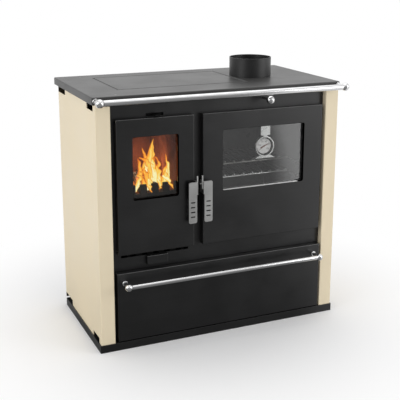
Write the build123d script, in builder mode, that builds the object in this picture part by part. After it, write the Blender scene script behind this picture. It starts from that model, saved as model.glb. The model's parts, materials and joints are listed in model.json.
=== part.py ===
"""Wood cookstove: firebox on the left, glazed oven on the right, wood drawer below.

Millimetres. +Z is up, -Y is the front. The origin is the centre of the base's underside.
"""

from build123d import *
import os

os.makedirs("parts", exist_ok=True)

# ---------------------------------------------------------------- driving dimensions

# Body
PLINTH_OVERHANG = 3.5
PLINTH_DEPTH = 438.0
PLINTH_HEIGHT = 27.0
PLINTH_SHEET = 2.0
LEVELLING_HOLE_RADIUS = 5.0
LEVELLING_INSET_X = 40.0
LEVELLING_INSET_Y = 39.0

BODY_WIDTH = 873.0
BODY_HEIGHT = 799.0
PANEL_FRONT = -217.0
PANEL_DEPTH = 451.0
PANEL_SHEET = 2.0
PANEL_BEND_RADIUS = 2.5
FRONT_FLANGE = 48.5
REAR_FLANGE = 26.0
FRAME_SETBACK = 21.0
NOTCH_TOP_HEIGHT = 23.0
NOTCH_REAR_LENGTH = 93.0
NOTCH_FRONT_START = 24.0
NOTCH_FRONT_LENGTH = 69.0
NOTCH_BOTTOM_REAR_HEIGHT = 19.0
NOTCH_BOTTOM_FRONT_HEIGHT = 18.0

CASING_SHEET = 4.0
CARCASS_SIDE_SPACE = 28.5
CARCASS_REAR_SPACE = 8.0
REAR_COVER_INSET = 13.0
REAR_COVER_BOTTOM_SPACE = 33.0
REAR_COVER_TOP_SPACE = 36.0
REAR_COVER_DEPTH = 12.0
REAR_COVER_SHEET = 1.5
LOUVRE_WIDTH = 150.0
LOUVRE_HEIGHT = 5.0
LOUVRE_PITCH = 16.0
LOUVRE_ROWS = 6

# Hob
HOB_OVERHANG = 7.5
HOB_REAR_OVERHANG = 28.0
HOB_SETBACK = 3.0
HOB_PLATE = 8.0
HOB_EDGE = 24.0
HOB_SKIRT = 5.0
HOB_EDGE_RADIUS = 3.5
HOB_CORNER_RADIUS = 5.0
HOTPLATE_LEFT_MARGIN = 124.0
HOTPLATE_FRONT_MARGIN = 121.0
HOTPLATE_REAR_MARGIN = 76.0
HOTPLATE_FLUE_SPACE = 9.5
HOTPLATE_GAP = 3.0
HOTPLATE_CHAMFER = 2.0
HOTPLATE_CORNER_RADIUS = 3.0
HOTPLATE_LEDGE_OUT = 4.0
HOTPLATE_LAP = 8.0
HOTPLATE_LEDGE_THICKNESS = 8.0
HOB_SCREW_SIDE = 86.5
HOB_SCREW_FRONT = 33.0
HOB_SCREW_HEAD_RADIUS = 6.0
HOB_SCREW_RADIUS = 3.0
HOB_SCREW_LENGTH = 16.0
HOB_SCREW_SLOT = 1.4
HOB_SCREW_SINK = 0.5

FLUE_SIDE_DISTANCE = 213.0
FLUE_REAR_DISTANCE = 219.5
FLUE_RADIUS = 75.0
FLUE_WALL = 3.0
FLUE_HEIGHT = 67.0
FLUE_FOOT_HEIGHT = 0.5
FLUE_SHOULDER = 1.5
FLUE_SHOULDER_GAP = 0.1

# Front rails
TOWEL_RAIL_RADIUS = 10.0
TOWEL_RAIL_STANDOFF = 48.0
TOWEL_RAIL_DROP = 12.0
TOWEL_RAIL_INSET = 10.0
TOWEL_BALL_RADIUS = 14.0
DRAWER_RAIL_RADIUS = 8.0
DRAWER_RAIL_STANDOFF = 42.0
DRAWER_RAIL_INSET = 24.5
DRAWER_RAIL_DROP = 33.0
DRAWER_BALL_RADIUS = 13.0
RAIL_NECK_RADIUS = 5.0
RAIL_NECK_LENGTH = 6.0
RAIL_BOSS_RADIUS = 9.0
RAIL_BOSS_LENGTH = 5.0

# Front openings
FIRE_DOOR_SIDE_MARGIN = 65.5
FIRE_DOOR_WIDTH = 263.5
DOOR_SPACING = 32.5
OVEN_DOOR_SIDE_MARGIN = 62.5
DOOR_DRAWER_SPACE = 61.0
DOOR_TOP_SPACE = 68.0
DOOR_PROUD = 22.0
DOOR_SHEET = 3.0
DOOR_EDGE_RADIUS = 1.5
DOOR_FRAME_GAP = 0.5
OPENING_LAP_BOTTOM = 27.0
OPENING_LAP_TOP = 30.0
FIRE_OPENING_LAP_LEFT = 31.0
FIRE_OPENING_LAP_RIGHT = 30.5
OVEN_OPENING_LAP_LEFT = 61.0
OVEN_OPENING_LAP_RIGHT = 56.0
CROSS_RAIL_LAP = 4.0
DRAWER_OPENING_LAP = 18.5
DRAWER_SILL_HEIGHT = 9.0

FIRE_WINDOW_MARGIN_LEFT = 53.0
FIRE_WINDOW_MARGIN_RIGHT = 53.0
OVEN_WINDOW_MARGIN_LEFT = 71.0
OVEN_WINDOW_MARGIN_RIGHT = 69.0
WINDOW_TOP_MARGIN = 58.0
WINDOW_HEIGHT = 207.5
WINDOW_CORNER = 7.0
WINDOW_REVEAL = 12.0
GLASS_THICKNESS = 4.0
GLASS_LAP = 8.0
CLIP_SHEET = 1.6
CLIP_WIDTH = 18.0
CLIP_LAP = 6.0
CLIP_GAP = 1.0

INNER_FRAME_INSET = 13.0
INNER_FRAME_WIDTH = 30.0
INNER_FRAME_DEPTH = 14.0
GASKET_INSET = 6.0
GASKET_WIDTH = 8.0
GASKET_GROOVE = 4.0
GASKET_SIDE_GAP = 0.3
SEAT_GAP = 0.3
CUT_OVERRUN = 1.0
LINER_SHEET = 3.0

# Door hinges
HINGE_INSET = 6.0
HINGE_DEPTH = 9.0
HINGE_PIN_RADIUS = 3.0
HINGE_BORE_GAP = 0.05
HINGE_EYE_RADIUS = 5.6
HINGE_LUG_THICKNESS = 6.0
HINGE_LUG_WIDTH = 8.0
HINGE_RELIEF = 11.0
HINGE_NOTCH_GAP = 1.5

# Door latches
LATCH_PLATE_WIDTH = 29.0
LATCH_PLATE_HEIGHT = 140.0
LATCH_DROP = 221.0
LATCH_SHEET = 3.0
LATCH_STANDOFF = 19.0
LATCH_CORNER = 6.0
LATCH_FLANGE_HEIGHT = 44.0
LATCH_FLANGE_REACH = 5.5
LATCH_FLANGE_GAP = 3.0
LATCH_PIVOT_DROP = 16.0
LATCH_PIVOT_DEPTH = 8.5
LATCH_NUT_RADIUS = 5.0
LATCH_BOLT_RADIUS = 3.0
LATCH_BOLT_GAP = 0.05
LATCH_BOLT_HEAD = 5.0
LATCH_BOLT_HEAD_LENGTH = 3.0
LATCH_HORN_RADIUS = 2.5
LATCH_HORN_RISE = 18.0
LATCH_HORN_LENGTH = 45.0
LATCH_SLOT_COUNT = 4
LATCH_SLOT_LENGTH = 16.0
LATCH_SLOT_WIDTH = 4.5
LATCH_SLOT_PITCH = 16.4
LATCH_SLOT_START = 69.0
KEEPER_WIDTH = 11.0
KEEPER_DEPTH = 12.0
KEEPER_DROP = 83.0
KEEPER_HEIGHT = 30.0

# Firebox
FIREBOX_REAR_SPACE = 76.0
FIREBOX_TOP_SPACE = 50.0
HEARTH_PLATE_RISE = 10.0
GRATE_SHELF_RISE = 84.0
BRICK_THICKNESS = 30.0
BRICK_ROWS = 3
BRICK_TOP_SPACE = 15.0
SIDE_BRICK_COLUMNS = 3
BACK_BRICK_COLUMNS = 2
BRICK_JOINT = 0.5
GRATE_WIDTH = 150.0
GRATE_DEPTH = 200.0
GRATE_THICKNESS = 14.0
GRATE_BAR = 9.0
GRATE_SLOTS = 8
GRATE_LEDGE = 8.0
GUARD_THICKNESS = 12.0
GUARD_SETBACK = 52.0
GUARD_HEIGHT = 99.0
GUARD_SLOT_DEPTH = 30.0
GUARD_PITCH = 40.0
GUARD_SLOT_WIDTH = 17.0
ASH_PAN_SHEET = 1.5
ASH_PAN_HEIGHT = 62.0
ASH_PAN_REAR_SPACE = 66.0
ASH_SLOT_SPACE = 24.0
ASH_PAN_MARGIN = 6.0

# Oven
OVEN_SHEET = 3.0
OVEN_REAR_SPACE = 123.0
OVEN_FLOOR_RISE = 13.0
OVEN_CEILING_DROP = 1.0
RACK_LOWER_RISE = 149.0
RACK_SPACING = 48.0
RACK_FRONT_SPACE = 98.0
RACK_REAR_SPACE = 8.0
RACK_FRAME_WIRE = 3.0
RACK_WIRE = 2.0
RACK_WIRE_PITCH = 36.0
RACK_SIDE_GAP = 3.0
RACK_LEDGE_WIDTH = 9.0
RACK_LEDGE_THICKNESS = 2.0

THERMOMETER_OFFSET = 11.5
THERMOMETER_DROP = 75.0
THERMOMETER_RADIUS = 35.5
THERMOMETER_RIM = 4.0
THERMOMETER_DEPTH = 12.0
THERMOMETER_BACK = 2.0
THERMOMETER_DIAL_RADIUS = 26.5
THERMOMETER_DIAL_THICKNESS = 2.0
THERMOMETER_TAB_WIDTH = 35.0
THERMOMETER_NECK_WIDTH = 15.0
THERMOMETER_NECK_HEIGHT = 4.0
THERMOMETER_TAB_SHEET = 2.0
THERMOMETER_FOOT_WIDTH = 77.0
THERMOMETER_FOOT_TOP_WIDTH = 42.0
THERMOMETER_FOOT_HEIGHT = 9.0
NEEDLE_LENGTH = 22.0
NEEDLE_TAIL = 14.0
NEEDLE_THICKNESS = 0.8
NEEDLE_HUB_RADIUS = 3.0
NEEDLE_PIN_RADIUS = 1.0
NEEDLE_PIN_GAP = 0.05
NEEDLE_ANGLE = 65.0

# Smoke damper
FLUE_BOX_LEFT_REACH = 77.5
FLUE_BOX_RIGHT_REACH = 80.5
FLUE_BOX_FRONT_REACH = 80.5
FLUE_BOX_SHEET = 3.0
DAMPER_OFFSET = 66.5
DAMPER_DROP = 34.0
DAMPER_PLATE_OFFSET = 23.5
DAMPER_OPENING_WIDTH = 80.0
DAMPER_OPENING_DROP = 66.0
DAMPER_OPENING_HEIGHT = 54.0
DAMPER_PLATE_LAP = 10.0
DAMPER_PLATE_THICKNESS = 3.0
DAMPER_ROD_RADIUS = 4.0
DAMPER_ROD_GAP = 0.1
DAMPER_KNOB_RADIUS = 14.0
DAMPER_KNOB_STANDOFF = 48.0

# Air controls
AIR_SLOT_MARGIN_LEFT = 14.0
AIR_SLOT_MARGIN_RIGHT = 13.0
AIR_SLOT_DROP = 16.5
AIR_SLOT_HEIGHT = 8.0
AIR_KNOB_MARGIN = 100.5
AIR_KNOB_WIDTH = 72.5
AIR_KNOB_RISE = 13.5
AIR_KNOB_HEIGHT = 30.0
AIR_KNOB_DEPTH = 13.5
AIR_KNOB_RADIUS = 1.5
AIR_STEM_RADIUS = 4.0
AIR_STEM_GAP = 0.5
AIR_TRAVEL = 20.0
AIR_PLATE_SHEET = 2.0
AIR_PLATE_WIDTH = 200.0
AIR_PLATE_RISE = 16.0
AIR_PLATE_HEIGHT = 50.0
AIR_GUIDE_SHEET = 2.0
AIR_GUIDE_LIP = 6.0
TAB_WIDTH = 18.0
TAB_OFFSET = -4.65
TAB_DROP = 61.0
TAB_SHEET = 2.0
TAB_REACH = 25.0
TAB_LIP = 4.0
TAB_TRAVEL = 15.0
TAB_SLOT_HEIGHT = 10.0
TAB_SLOT_END_GAP = 6.0
TAB_PLATE_WIDTH = 150.0
TAB_PLATE_HEIGHT = 32.0

# Wood drawer
DRAWER_SIDE_MARGIN = 58.0
DRAWER_FLOOR_GAP = 5.0
DRAWER_HEIGHT = 236.0
DRAWER_PROUD = 26.0
DRAWER_FRONT_DEPTH = 23.0
DRAWER_SHEET = 2.0
DRAWER_EDGE_RADIUS = 1.5
BIN_SIDE_SPACE = 22.0
BIN_FLOOR_RISE = 16.0
BIN_HEIGHT = 156.0
BIN_REAR_SPACE = 41.0
SLIDE_BAR_HEIGHT = 25.0
SLIDE_BAR_WIDTH = 15.5
SLIDE_BAR_RISE = 58.5
SLIDE_GAP = 0.5
RUNNER_SHEET = 2.0
RUNNER_BRACKET_LENGTH = 40.0
RUNNER_END_GAP = 2.0

# ---------------------------------------------------------------- places worked out

BODY_TOP = PLINTH_HEIGHT + BODY_HEIGHT
PLINTH_WIDTH = BODY_WIDTH + 2 * PLINTH_OVERHANG
LEVELLING_SPACING_X = PLINTH_WIDTH - 2 * LEVELLING_INSET_X
LEVELLING_SPACING_Y = PLINTH_DEPTH - 2 * LEVELLING_INSET_Y
PANEL_BACK = PANEL_FRONT + PANEL_DEPTH
PANEL_OUTER = BODY_WIDTH / 2
FLANGE_INNER = PANEL_OUTER - FRONT_FLANGE
FRAME_FRONT = PANEL_FRONT + FRAME_SETBACK
FRAME_BACK = FRAME_FRONT + CASING_SHEET
CARCASS_OUTER = PANEL_OUTER - CARCASS_SIDE_SPACE
CARCASS_INNER = CARCASS_OUTER - CASING_SHEET
CARCASS_BACK = PANEL_BACK - CARCASS_REAR_SPACE
BACK_PLATE_FRONT = CARCASS_BACK - CASING_SHEET

HOB_TOP = BODY_TOP + HOB_EDGE
HOB_UNDERSIDE = HOB_TOP - HOB_PLATE
HOB_OUTER = PANEL_OUTER + HOB_OVERHANG
HOB_FRONT = PANEL_FRONT + HOB_SETBACK
HOB_BACK = PANEL_BACK + HOB_REAR_OVERHANG
FLUE_X = PANEL_OUTER - FLUE_SIDE_DISTANCE
FLUE_Y = HOB_BACK - FLUE_REAR_DISTANCE
HOTPLATE_LEFT = -HOB_OUTER + HOTPLATE_LEFT_MARGIN
HOTPLATE_RIGHT = FLUE_X - FLUE_RADIUS - HOTPLATE_FLUE_SPACE
HOTPLATE_FRONT = HOB_FRONT + HOTPLATE_FRONT_MARGIN
HOTPLATE_BACK = HOB_BACK - HOTPLATE_REAR_MARGIN
TOWEL_RAIL_HALF_SPAN = HOB_OUTER - TOWEL_RAIL_INSET
TOWEL_RAIL_Y = HOB_FRONT - TOWEL_RAIL_STANDOFF
TOWEL_RAIL_Z = HOB_TOP - TOWEL_RAIL_DROP

DRAWER_OUTER = PANEL_OUTER - DRAWER_SIDE_MARGIN
DRAWER_BOTTOM = PLINTH_HEIGHT + DRAWER_FLOOR_GAP
DRAWER_TOP = DRAWER_BOTTOM + DRAWER_HEIGHT
DRAWER_FRONT = FRAME_FRONT - DRAWER_PROUD
DRAWER_PAN_BACK = DRAWER_FRONT + DRAWER_FRONT_DEPTH
DRAWER_OPENING_HALF = DRAWER_OUTER - DRAWER_OPENING_LAP
DRAWER_RAIL_HALF_SPAN = DRAWER_OUTER - DRAWER_RAIL_INSET
DRAWER_RAIL_Y = DRAWER_FRONT - DRAWER_RAIL_STANDOFF
DRAWER_RAIL_Z = DRAWER_TOP - DRAWER_RAIL_DROP
BIN_OUTER = DRAWER_OPENING_HALF - BIN_SIDE_SPACE
BIN_BOTTOM = DRAWER_BOTTOM + BIN_FLOOR_RISE
BIN_BACK = CARCASS_BACK - BIN_REAR_SPACE
SLIDE_BAR_BOTTOM = BIN_BOTTOM + SLIDE_BAR_RISE
RUNNER_INNER = BIN_OUTER + SLIDE_BAR_WIDTH + SLIDE_GAP
CROSS_RAIL_BOTTOM = DRAWER_TOP - CROSS_RAIL_LAP
HEARTH_PLATE_TOP = DRAWER_TOP + HEARTH_PLATE_RISE

DOOR_FRONT = FRAME_FRONT - DOOR_PROUD
DOOR_BACK = FRAME_FRONT - DOOR_FRAME_GAP
DOOR_BOTTOM = DRAWER_TOP + DOOR_DRAWER_SPACE
DOOR_TOP = HOB_UNDERSIDE - DOOR_TOP_SPACE
SKIN_BACK = DOOR_FRONT + DOOR_SHEET
FIRE_DOOR_LEFT = -PANEL_OUTER + FIRE_DOOR_SIDE_MARGIN
FIRE_DOOR_RIGHT = FIRE_DOOR_LEFT + FIRE_DOOR_WIDTH
OVEN_DOOR_LEFT = FIRE_DOOR_RIGHT + DOOR_SPACING
OVEN_DOOR_RIGHT = PANEL_OUTER - OVEN_DOOR_SIDE_MARGIN
GAP_CENTRE = (FIRE_DOOR_RIGHT + OVEN_DOOR_LEFT) / 2
OPENING_BOTTOM = DOOR_BOTTOM + OPENING_LAP_BOTTOM
OPENING_TOP = DOOR_TOP - OPENING_LAP_TOP
FIRE_OPENING_LEFT = FIRE_DOOR_LEFT + FIRE_OPENING_LAP_LEFT
FIRE_OPENING_RIGHT = FIRE_DOOR_RIGHT - FIRE_OPENING_LAP_RIGHT
OVEN_OPENING_LEFT = OVEN_DOOR_LEFT + OVEN_OPENING_LAP_LEFT
OVEN_OPENING_RIGHT = OVEN_DOOR_RIGHT - OVEN_OPENING_LAP_RIGHT
FIRE_WINDOW_LEFT = FIRE_DOOR_LEFT + FIRE_WINDOW_MARGIN_LEFT
FIRE_WINDOW_RIGHT = FIRE_DOOR_RIGHT - FIRE_WINDOW_MARGIN_RIGHT
OVEN_WINDOW_LEFT = OVEN_DOOR_LEFT + OVEN_WINDOW_MARGIN_LEFT
OVEN_WINDOW_RIGHT = OVEN_DOOR_RIGHT - OVEN_WINDOW_MARGIN_RIGHT
WINDOW_TOP = DOOR_TOP - WINDOW_TOP_MARGIN
WINDOW_BOTTOM = WINDOW_TOP - WINDOW_HEIGHT
GLASS_FRONT = DOOR_FRONT + WINDOW_REVEAL
GLASS_BACK = GLASS_FRONT + GLASS_THICKNESS
INNER_FRAME_BACK = SKIN_BACK + INNER_FRAME_DEPTH
INNER_FRAME_TOP = DOOR_TOP - INNER_FRAME_INSET
INNER_FRAME_BOTTOM = DOOR_BOTTOM + INNER_FRAME_INSET
HINGE_Y = DOOR_FRONT + HINGE_DEPTH
LUG_TOP_LOW = DOOR_TOP - DOOR_SHEET - SEAT_GAP - HINGE_LUG_THICKNESS
LUG_BOTTOM_LOW = DOOR_BOTTOM + DOOR_SHEET + SEAT_GAP
LATCH_TOP = DOOR_TOP - LATCH_DROP
LATCH_HORN_TOP = LATCH_TOP + LATCH_HORN_RISE
LATCH_PIVOT_Y = DOOR_FRONT + LATCH_PIVOT_DEPTH
LATCH_PIVOT_Z = LATCH_TOP - LATCH_PIVOT_DROP
KEEPER_BOTTOM = LATCH_TOP - KEEPER_DROP

FIREBOX_LEFT = FIRE_OPENING_LEFT - BRICK_THICKNESS
FIREBOX_RIGHT = FIRE_OPENING_RIGHT + BRICK_THICKNESS
FIREBOX_BACK = CARCASS_BACK - FIREBOX_REAR_SPACE
FIREBOX_TOP = HOB_UNDERSIDE - FIREBOX_TOP_SPACE
ASH_SHELF_TOP = OPENING_BOTTOM
GRATE_SHELF_TOP = OPENING_BOTTOM + GRATE_SHELF_RISE
GRATE_CENTRE_X = (FIRE_OPENING_LEFT + FIRE_OPENING_RIGHT) / 2
GRATE_CENTRE_Y = (FRAME_BACK + GUARD_SETBACK + FIREBOX_BACK - BRICK_THICKNESS) / 2
GUARD_TOP = GRATE_SHELF_TOP + GUARD_HEIGHT
BRICK_RUN = FIREBOX_TOP - BRICK_TOP_SPACE - GRATE_SHELF_TOP
BRICK_HEIGHT = (BRICK_RUN - (BRICK_ROWS - 1) * BRICK_JOINT) / BRICK_ROWS
ASH_PAN_FRONT = FRAME_BACK + ASH_PAN_MARGIN
ASH_PAN_BACK = FIREBOX_BACK - ASH_PAN_REAR_SPACE

OVEN_BACK = CARCASS_BACK - OVEN_REAR_SPACE
OVEN_FLOOR = OPENING_BOTTOM + OVEN_FLOOR_RISE
OVEN_CEILING = OPENING_TOP - OVEN_CEILING_DROP
RACK_LOWER_Z = OVEN_FLOOR + RACK_LOWER_RISE
RACK_UPPER_Z = RACK_LOWER_Z + RACK_SPACING
RACK_FRONT = FRAME_BACK + RACK_FRONT_SPACE
RACK_BACK = OVEN_BACK - RACK_REAR_SPACE
THERMOMETER_X = (OVEN_WINDOW_LEFT + OVEN_WINDOW_RIGHT) / 2 + THERMOMETER_OFFSET
THERMOMETER_Z = WINDOW_TOP - THERMOMETER_DROP
FLUE_BOX_FRONT = FLUE_Y - FLUE_BOX_FRONT_REACH
DAMPER_X = FLUE_X - DAMPER_OFFSET
DAMPER_Z = HOB_UNDERSIDE - DAMPER_DROP
DAMPER_PLATE_X = FLUE_X - DAMPER_PLATE_OFFSET
DAMPER_OPENING_BOTTOM = HOB_UNDERSIDE - DAMPER_OPENING_DROP

AIR_SLOT_LEFT = FIRE_DOOR_LEFT + AIR_SLOT_MARGIN_LEFT
AIR_SLOT_RIGHT = FIRE_DOOR_RIGHT - AIR_SLOT_MARGIN_RIGHT
AIR_SLOT_BOTTOM = DOOR_BOTTOM - AIR_SLOT_DROP
AIR_KNOB_LEFT = FIRE_DOOR_LEFT + AIR_KNOB_MARGIN
AIR_KNOB_BOTTOM = DRAWER_TOP + AIR_KNOB_RISE
AIR_PLATE_BOTTOM = DRAWER_TOP + AIR_PLATE_RISE
TAB_CENTRE_X = (FIRE_DOOR_LEFT + FIRE_DOOR_RIGHT) / 2 - TAB_OFFSET
TAB_Z = HOB_UNDERSIDE - TAB_DROP


# ---------------------------------------------------------------- helpers


def slab(x, y, z, mode=Mode.ADD):
    """Rectangular block between a pair of x, a pair of y and a pair of z values."""
    centre = (sum(x) / 2, sum(y) / 2, sum(z) / 2)
    with Locations(centre):
        Box(x[1] - x[0], y[1] - y[0], z[1] - z[0], mode=mode)


def rod(start, direction, radius, length, mode=Mode.ADD):
    """Round bar from its start point along a direction."""
    with Locations(Plane(origin=start, z_dir=direction)):
        Cylinder(radius, length, align=(Align.CENTER, Align.CENTER, Align.MIN), mode=mode)


def widened(pair, margin):
    """A pair of bounds moved outwards by a margin, or inwards by a negative one."""
    return (pair[0] - margin, pair[1] + margin)


RIGHTWARDS = (1, 0, 0)
BACKWARDS = (0, 1, 0)
UPWARDS = (0, 0, 1)
DOWNWARDS = (0, 0, -1)

# ---------------------------------------------------------------- plinth and carcass

with BuildPart() as base_plinth:
    slab(
        (-PLINTH_WIDTH / 2, PLINTH_WIDTH / 2),
        (-PLINTH_DEPTH / 2, PLINTH_DEPTH / 2),
        (0, PLINTH_HEIGHT),
    )
    fillet(base_plinth.edges().filter_by(Axis.Z), radius=PLINTH_SHEET)
    slab(
        (-PLINTH_WIDTH / 2 + PLINTH_SHEET, PLINTH_WIDTH / 2 - PLINTH_SHEET),
        (-PLINTH_DEPTH / 2 + PLINTH_SHEET, PLINTH_DEPTH / 2 - PLINTH_SHEET),
        (PLINTH_SHEET, PLINTH_HEIGHT - PLINTH_SHEET),
        mode=Mode.SUBTRACT,
    )
    with GridLocations(LEVELLING_SPACING_X, LEVELLING_SPACING_Y, 2, 2):
        Cylinder(
            LEVELLING_HOLE_RADIUS,
            PLINTH_SHEET,
            align=(Align.CENTER, Align.CENTER, Align.MIN),
            mode=Mode.SUBTRACT,
        )
base_plinth.part.label = "base_plinth"
export_step(base_plinth.part, "parts/base_plinth.step")


def side_panel(side):
    """Folded cover sheet of one side: wall, front flange with its return, rear flange."""
    mid = PANEL_SHEET / 2
    wall_x = side * (PANEL_OUTER - mid)
    front_y = PANEL_FRONT + mid
    rear_y = PANEL_BACK - mid
    return_x = side * (FLANGE_INNER + mid)
    notch_front = PANEL_FRONT + NOTCH_FRONT_START
    wall_outside = side * (PANEL_OUTER + CUT_OVERRUN)
    wall_inside = side * (PANEL_OUTER - PANEL_SHEET - CUT_OVERRUN)
    wall_band = sorted((wall_outside, wall_inside))
    notch_rear = (PANEL_BACK - NOTCH_REAR_LENGTH, PANEL_BACK - PANEL_BEND_RADIUS)
    with BuildPart() as panel:
        with BuildSketch(Plane.XY.offset(PLINTH_HEIGHT)):
            with BuildLine():
                FilletPolyline(
                    (return_x, FRAME_FRONT),
                    (return_x, front_y),
                    (wall_x, front_y),
                    (wall_x, rear_y),
                    (side * (PANEL_OUTER - REAR_FLANGE), rear_y),
                    radius=PANEL_BEND_RADIUS - mid,
                )
            trace(line_width=PANEL_SHEET)
        extrude(amount=BODY_HEIGHT)
        for low, high in (
            (PLINTH_HEIGHT - CUT_OVERRUN, PLINTH_HEIGHT + NOTCH_BOTTOM_FRONT_HEIGHT),
            (BODY_TOP - NOTCH_TOP_HEIGHT, BODY_TOP + CUT_OVERRUN),
        ):
            slab(wall_band, (notch_front, notch_front + NOTCH_FRONT_LENGTH), (low, high), Mode.SUBTRACT)
        for low, high in (
            (PLINTH_HEIGHT - CUT_OVERRUN, PLINTH_HEIGHT + NOTCH_BOTTOM_REAR_HEIGHT),
            (BODY_TOP - NOTCH_TOP_HEIGHT, BODY_TOP + CUT_OVERRUN),
        ):
            slab(wall_band, notch_rear, (low, high), Mode.SUBTRACT)
    return panel


left_side_panel = side_panel(-1)
left_side_panel.part.label = "left_side_panel"
export_step(left_side_panel.part, "parts/left_side_panel.step")

right_side_panel = side_panel(1)
right_side_panel.part.label = "right_side_panel"
export_step(right_side_panel.part, "parts/right_side_panel.step")

with BuildPart() as left_carcass_wall:
    slab((-CARCASS_OUTER, -CARCASS_INNER), (FRAME_FRONT, CARCASS_BACK), (PLINTH_HEIGHT, HOB_UNDERSIDE))
left_carcass_wall.part.label = "left_carcass_wall"
export_step(left_carcass_wall.part, "parts/left_carcass_wall.step")

with BuildPart() as right_carcass_wall:
    slab((CARCASS_INNER, CARCASS_OUTER), (FRAME_FRONT, CARCASS_BACK), (PLINTH_HEIGHT, HOB_UNDERSIDE))
right_carcass_wall.part.label = "right_carcass_wall"
export_step(right_carcass_wall.part, "parts/right_carcass_wall.step")

with BuildPart() as back_plate:
    slab((-CARCASS_INNER, CARCASS_INNER), (BACK_PLATE_FRONT, CARCASS_BACK), (PLINTH_HEIGHT, HOB_UNDERSIDE))
back_plate.part.label = "back_plate"
export_step(back_plate.part, "parts/back_plate.step")

with BuildPart() as hearth_plate:
    slab(
        (-CARCASS_INNER, CARCASS_INNER),
        (FRAME_BACK, BACK_PLATE_FRONT),
        (HEARTH_PLATE_TOP - CASING_SHEET, HEARTH_PLATE_TOP),
    )
hearth_plate.part.label = "hearth_plate"
export_step(hearth_plate.part, "parts/hearth_plate.step")

# Flat strips, welded edge to edge: fascia, cross rail, stiles, centre post, legs and sill.
frame_y = (FRAME_FRONT, FRAME_BACK)
knob_stem_x = AIR_KNOB_LEFT + AIR_KNOB_WIDTH / 2
knob_stem_z = AIR_KNOB_BOTTOM + AIR_KNOB_HEIGHT / 2
stem_slot_half = AIR_TRAVEL + AIR_STEM_RADIUS + AIR_STEM_GAP
with BuildPart() as fascia_strip:
    slab((-CARCASS_INNER, CARCASS_INNER), frame_y, (OPENING_TOP, HOB_UNDERSIDE))
    rod(
        (DAMPER_X, FRAME_FRONT, DAMPER_Z),
        BACKWARDS,
        DAMPER_ROD_RADIUS + DAMPER_ROD_GAP,
        CASING_SHEET,
        mode=Mode.SUBTRACT,
    )
    tab_slot_half = TAB_WIDTH / 2 + TAB_TRAVEL + TAB_SLOT_END_GAP
    slab(
        (TAB_CENTRE_X - tab_slot_half, TAB_CENTRE_X + tab_slot_half),
        frame_y,
        (TAB_Z - TAB_SLOT_HEIGHT / 2, TAB_Z + TAB_SLOT_HEIGHT / 2),
        Mode.SUBTRACT,
    )
with BuildPart() as cross_strip:
    slab((-CARCASS_INNER, CARCASS_INNER), frame_y, (CROSS_RAIL_BOTTOM, OPENING_BOTTOM))
    slab(
        (AIR_SLOT_LEFT, AIR_SLOT_RIGHT),
        frame_y,
        (AIR_SLOT_BOTTOM, AIR_SLOT_BOTTOM + AIR_SLOT_HEIGHT),
        Mode.SUBTRACT,
    )
    slab(
        (knob_stem_x - stem_slot_half, knob_stem_x + stem_slot_half),
        frame_y,
        (knob_stem_z - AIR_STEM_RADIUS - AIR_STEM_GAP, knob_stem_z + AIR_STEM_RADIUS + AIR_STEM_GAP),
        Mode.SUBTRACT,
    )
with BuildPart() as upright_strips:
    slab((-CARCASS_INNER, FIRE_OPENING_LEFT), frame_y, (OPENING_BOTTOM, OPENING_TOP))
    slab((FIRE_OPENING_RIGHT, OVEN_OPENING_LEFT), frame_y, (OPENING_BOTTOM, OPENING_TOP))
    slab((OVEN_OPENING_RIGHT, CARCASS_INNER), frame_y, (OPENING_BOTTOM, OPENING_TOP))
    slab((-CARCASS_INNER, -DRAWER_OPENING_HALF), frame_y, (PLINTH_HEIGHT, CROSS_RAIL_BOTTOM))
    slab((DRAWER_OPENING_HALF, CARCASS_INNER), frame_y, (PLINTH_HEIGHT, CROSS_RAIL_BOTTOM))
with BuildPart() as sill_strip:
    slab(
        (-DRAWER_OPENING_HALF, DRAWER_OPENING_HALF),
        frame_y,
        (PLINTH_HEIGHT, PLINTH_HEIGHT + DRAWER_SILL_HEIGHT),
    )
front_frame = Compound(
    label="front_frame",
    children=[
        *fascia_strip.part.solids(),
        *cross_strip.part.solids(),
        *upright_strips.part.solids(),
        *sill_strip.part.solids(),
    ],
)
export_step(front_frame, "parts/front_frame.step")

with BuildPart() as rear_cover:
    cover_x = widened((-CARCASS_OUTER, CARCASS_OUTER), -REAR_COVER_INSET)
    cover_y = (CARCASS_BACK, CARCASS_BACK + REAR_COVER_DEPTH)
    cover_z = (PLINTH_HEIGHT + REAR_COVER_BOTTOM_SPACE, BODY_TOP - REAR_COVER_TOP_SPACE)
    slab(cover_x, cover_y, cover_z)
    fillet(rear_cover.faces().sort_by(Axis.Y)[-1].edges(), radius=REAR_COVER_SHEET)
    slab(
        (cover_x[0] + REAR_COVER_SHEET, cover_x[1] - REAR_COVER_SHEET),
        (cover_y[0], cover_y[1] - REAR_COVER_SHEET),
        (cover_z[0] + REAR_COVER_SHEET, cover_z[1] - REAR_COVER_SHEET),
        mode=Mode.SUBTRACT,
    )
    louvre_centre = Plane.XZ.offset(-cover_y[1]).shift_origin((0, cover_y[1], sum(cover_z) / 2))
    with BuildSketch(louvre_centre):
        with GridLocations(2 * LOUVRE_WIDTH, cover_z[1] / 2, 2, 2):
            with GridLocations(0, LOUVRE_PITCH, 1, LOUVRE_ROWS):
                SlotOverall(LOUVRE_WIDTH, LOUVRE_HEIGHT)
    extrude(amount=REAR_COVER_SHEET, mode=Mode.SUBTRACT)
rear_cover.part.label = "rear_cover"
export_step(rear_cover.part, "parts/rear_cover.step")

# ---------------------------------------------------------------- hob

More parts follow.
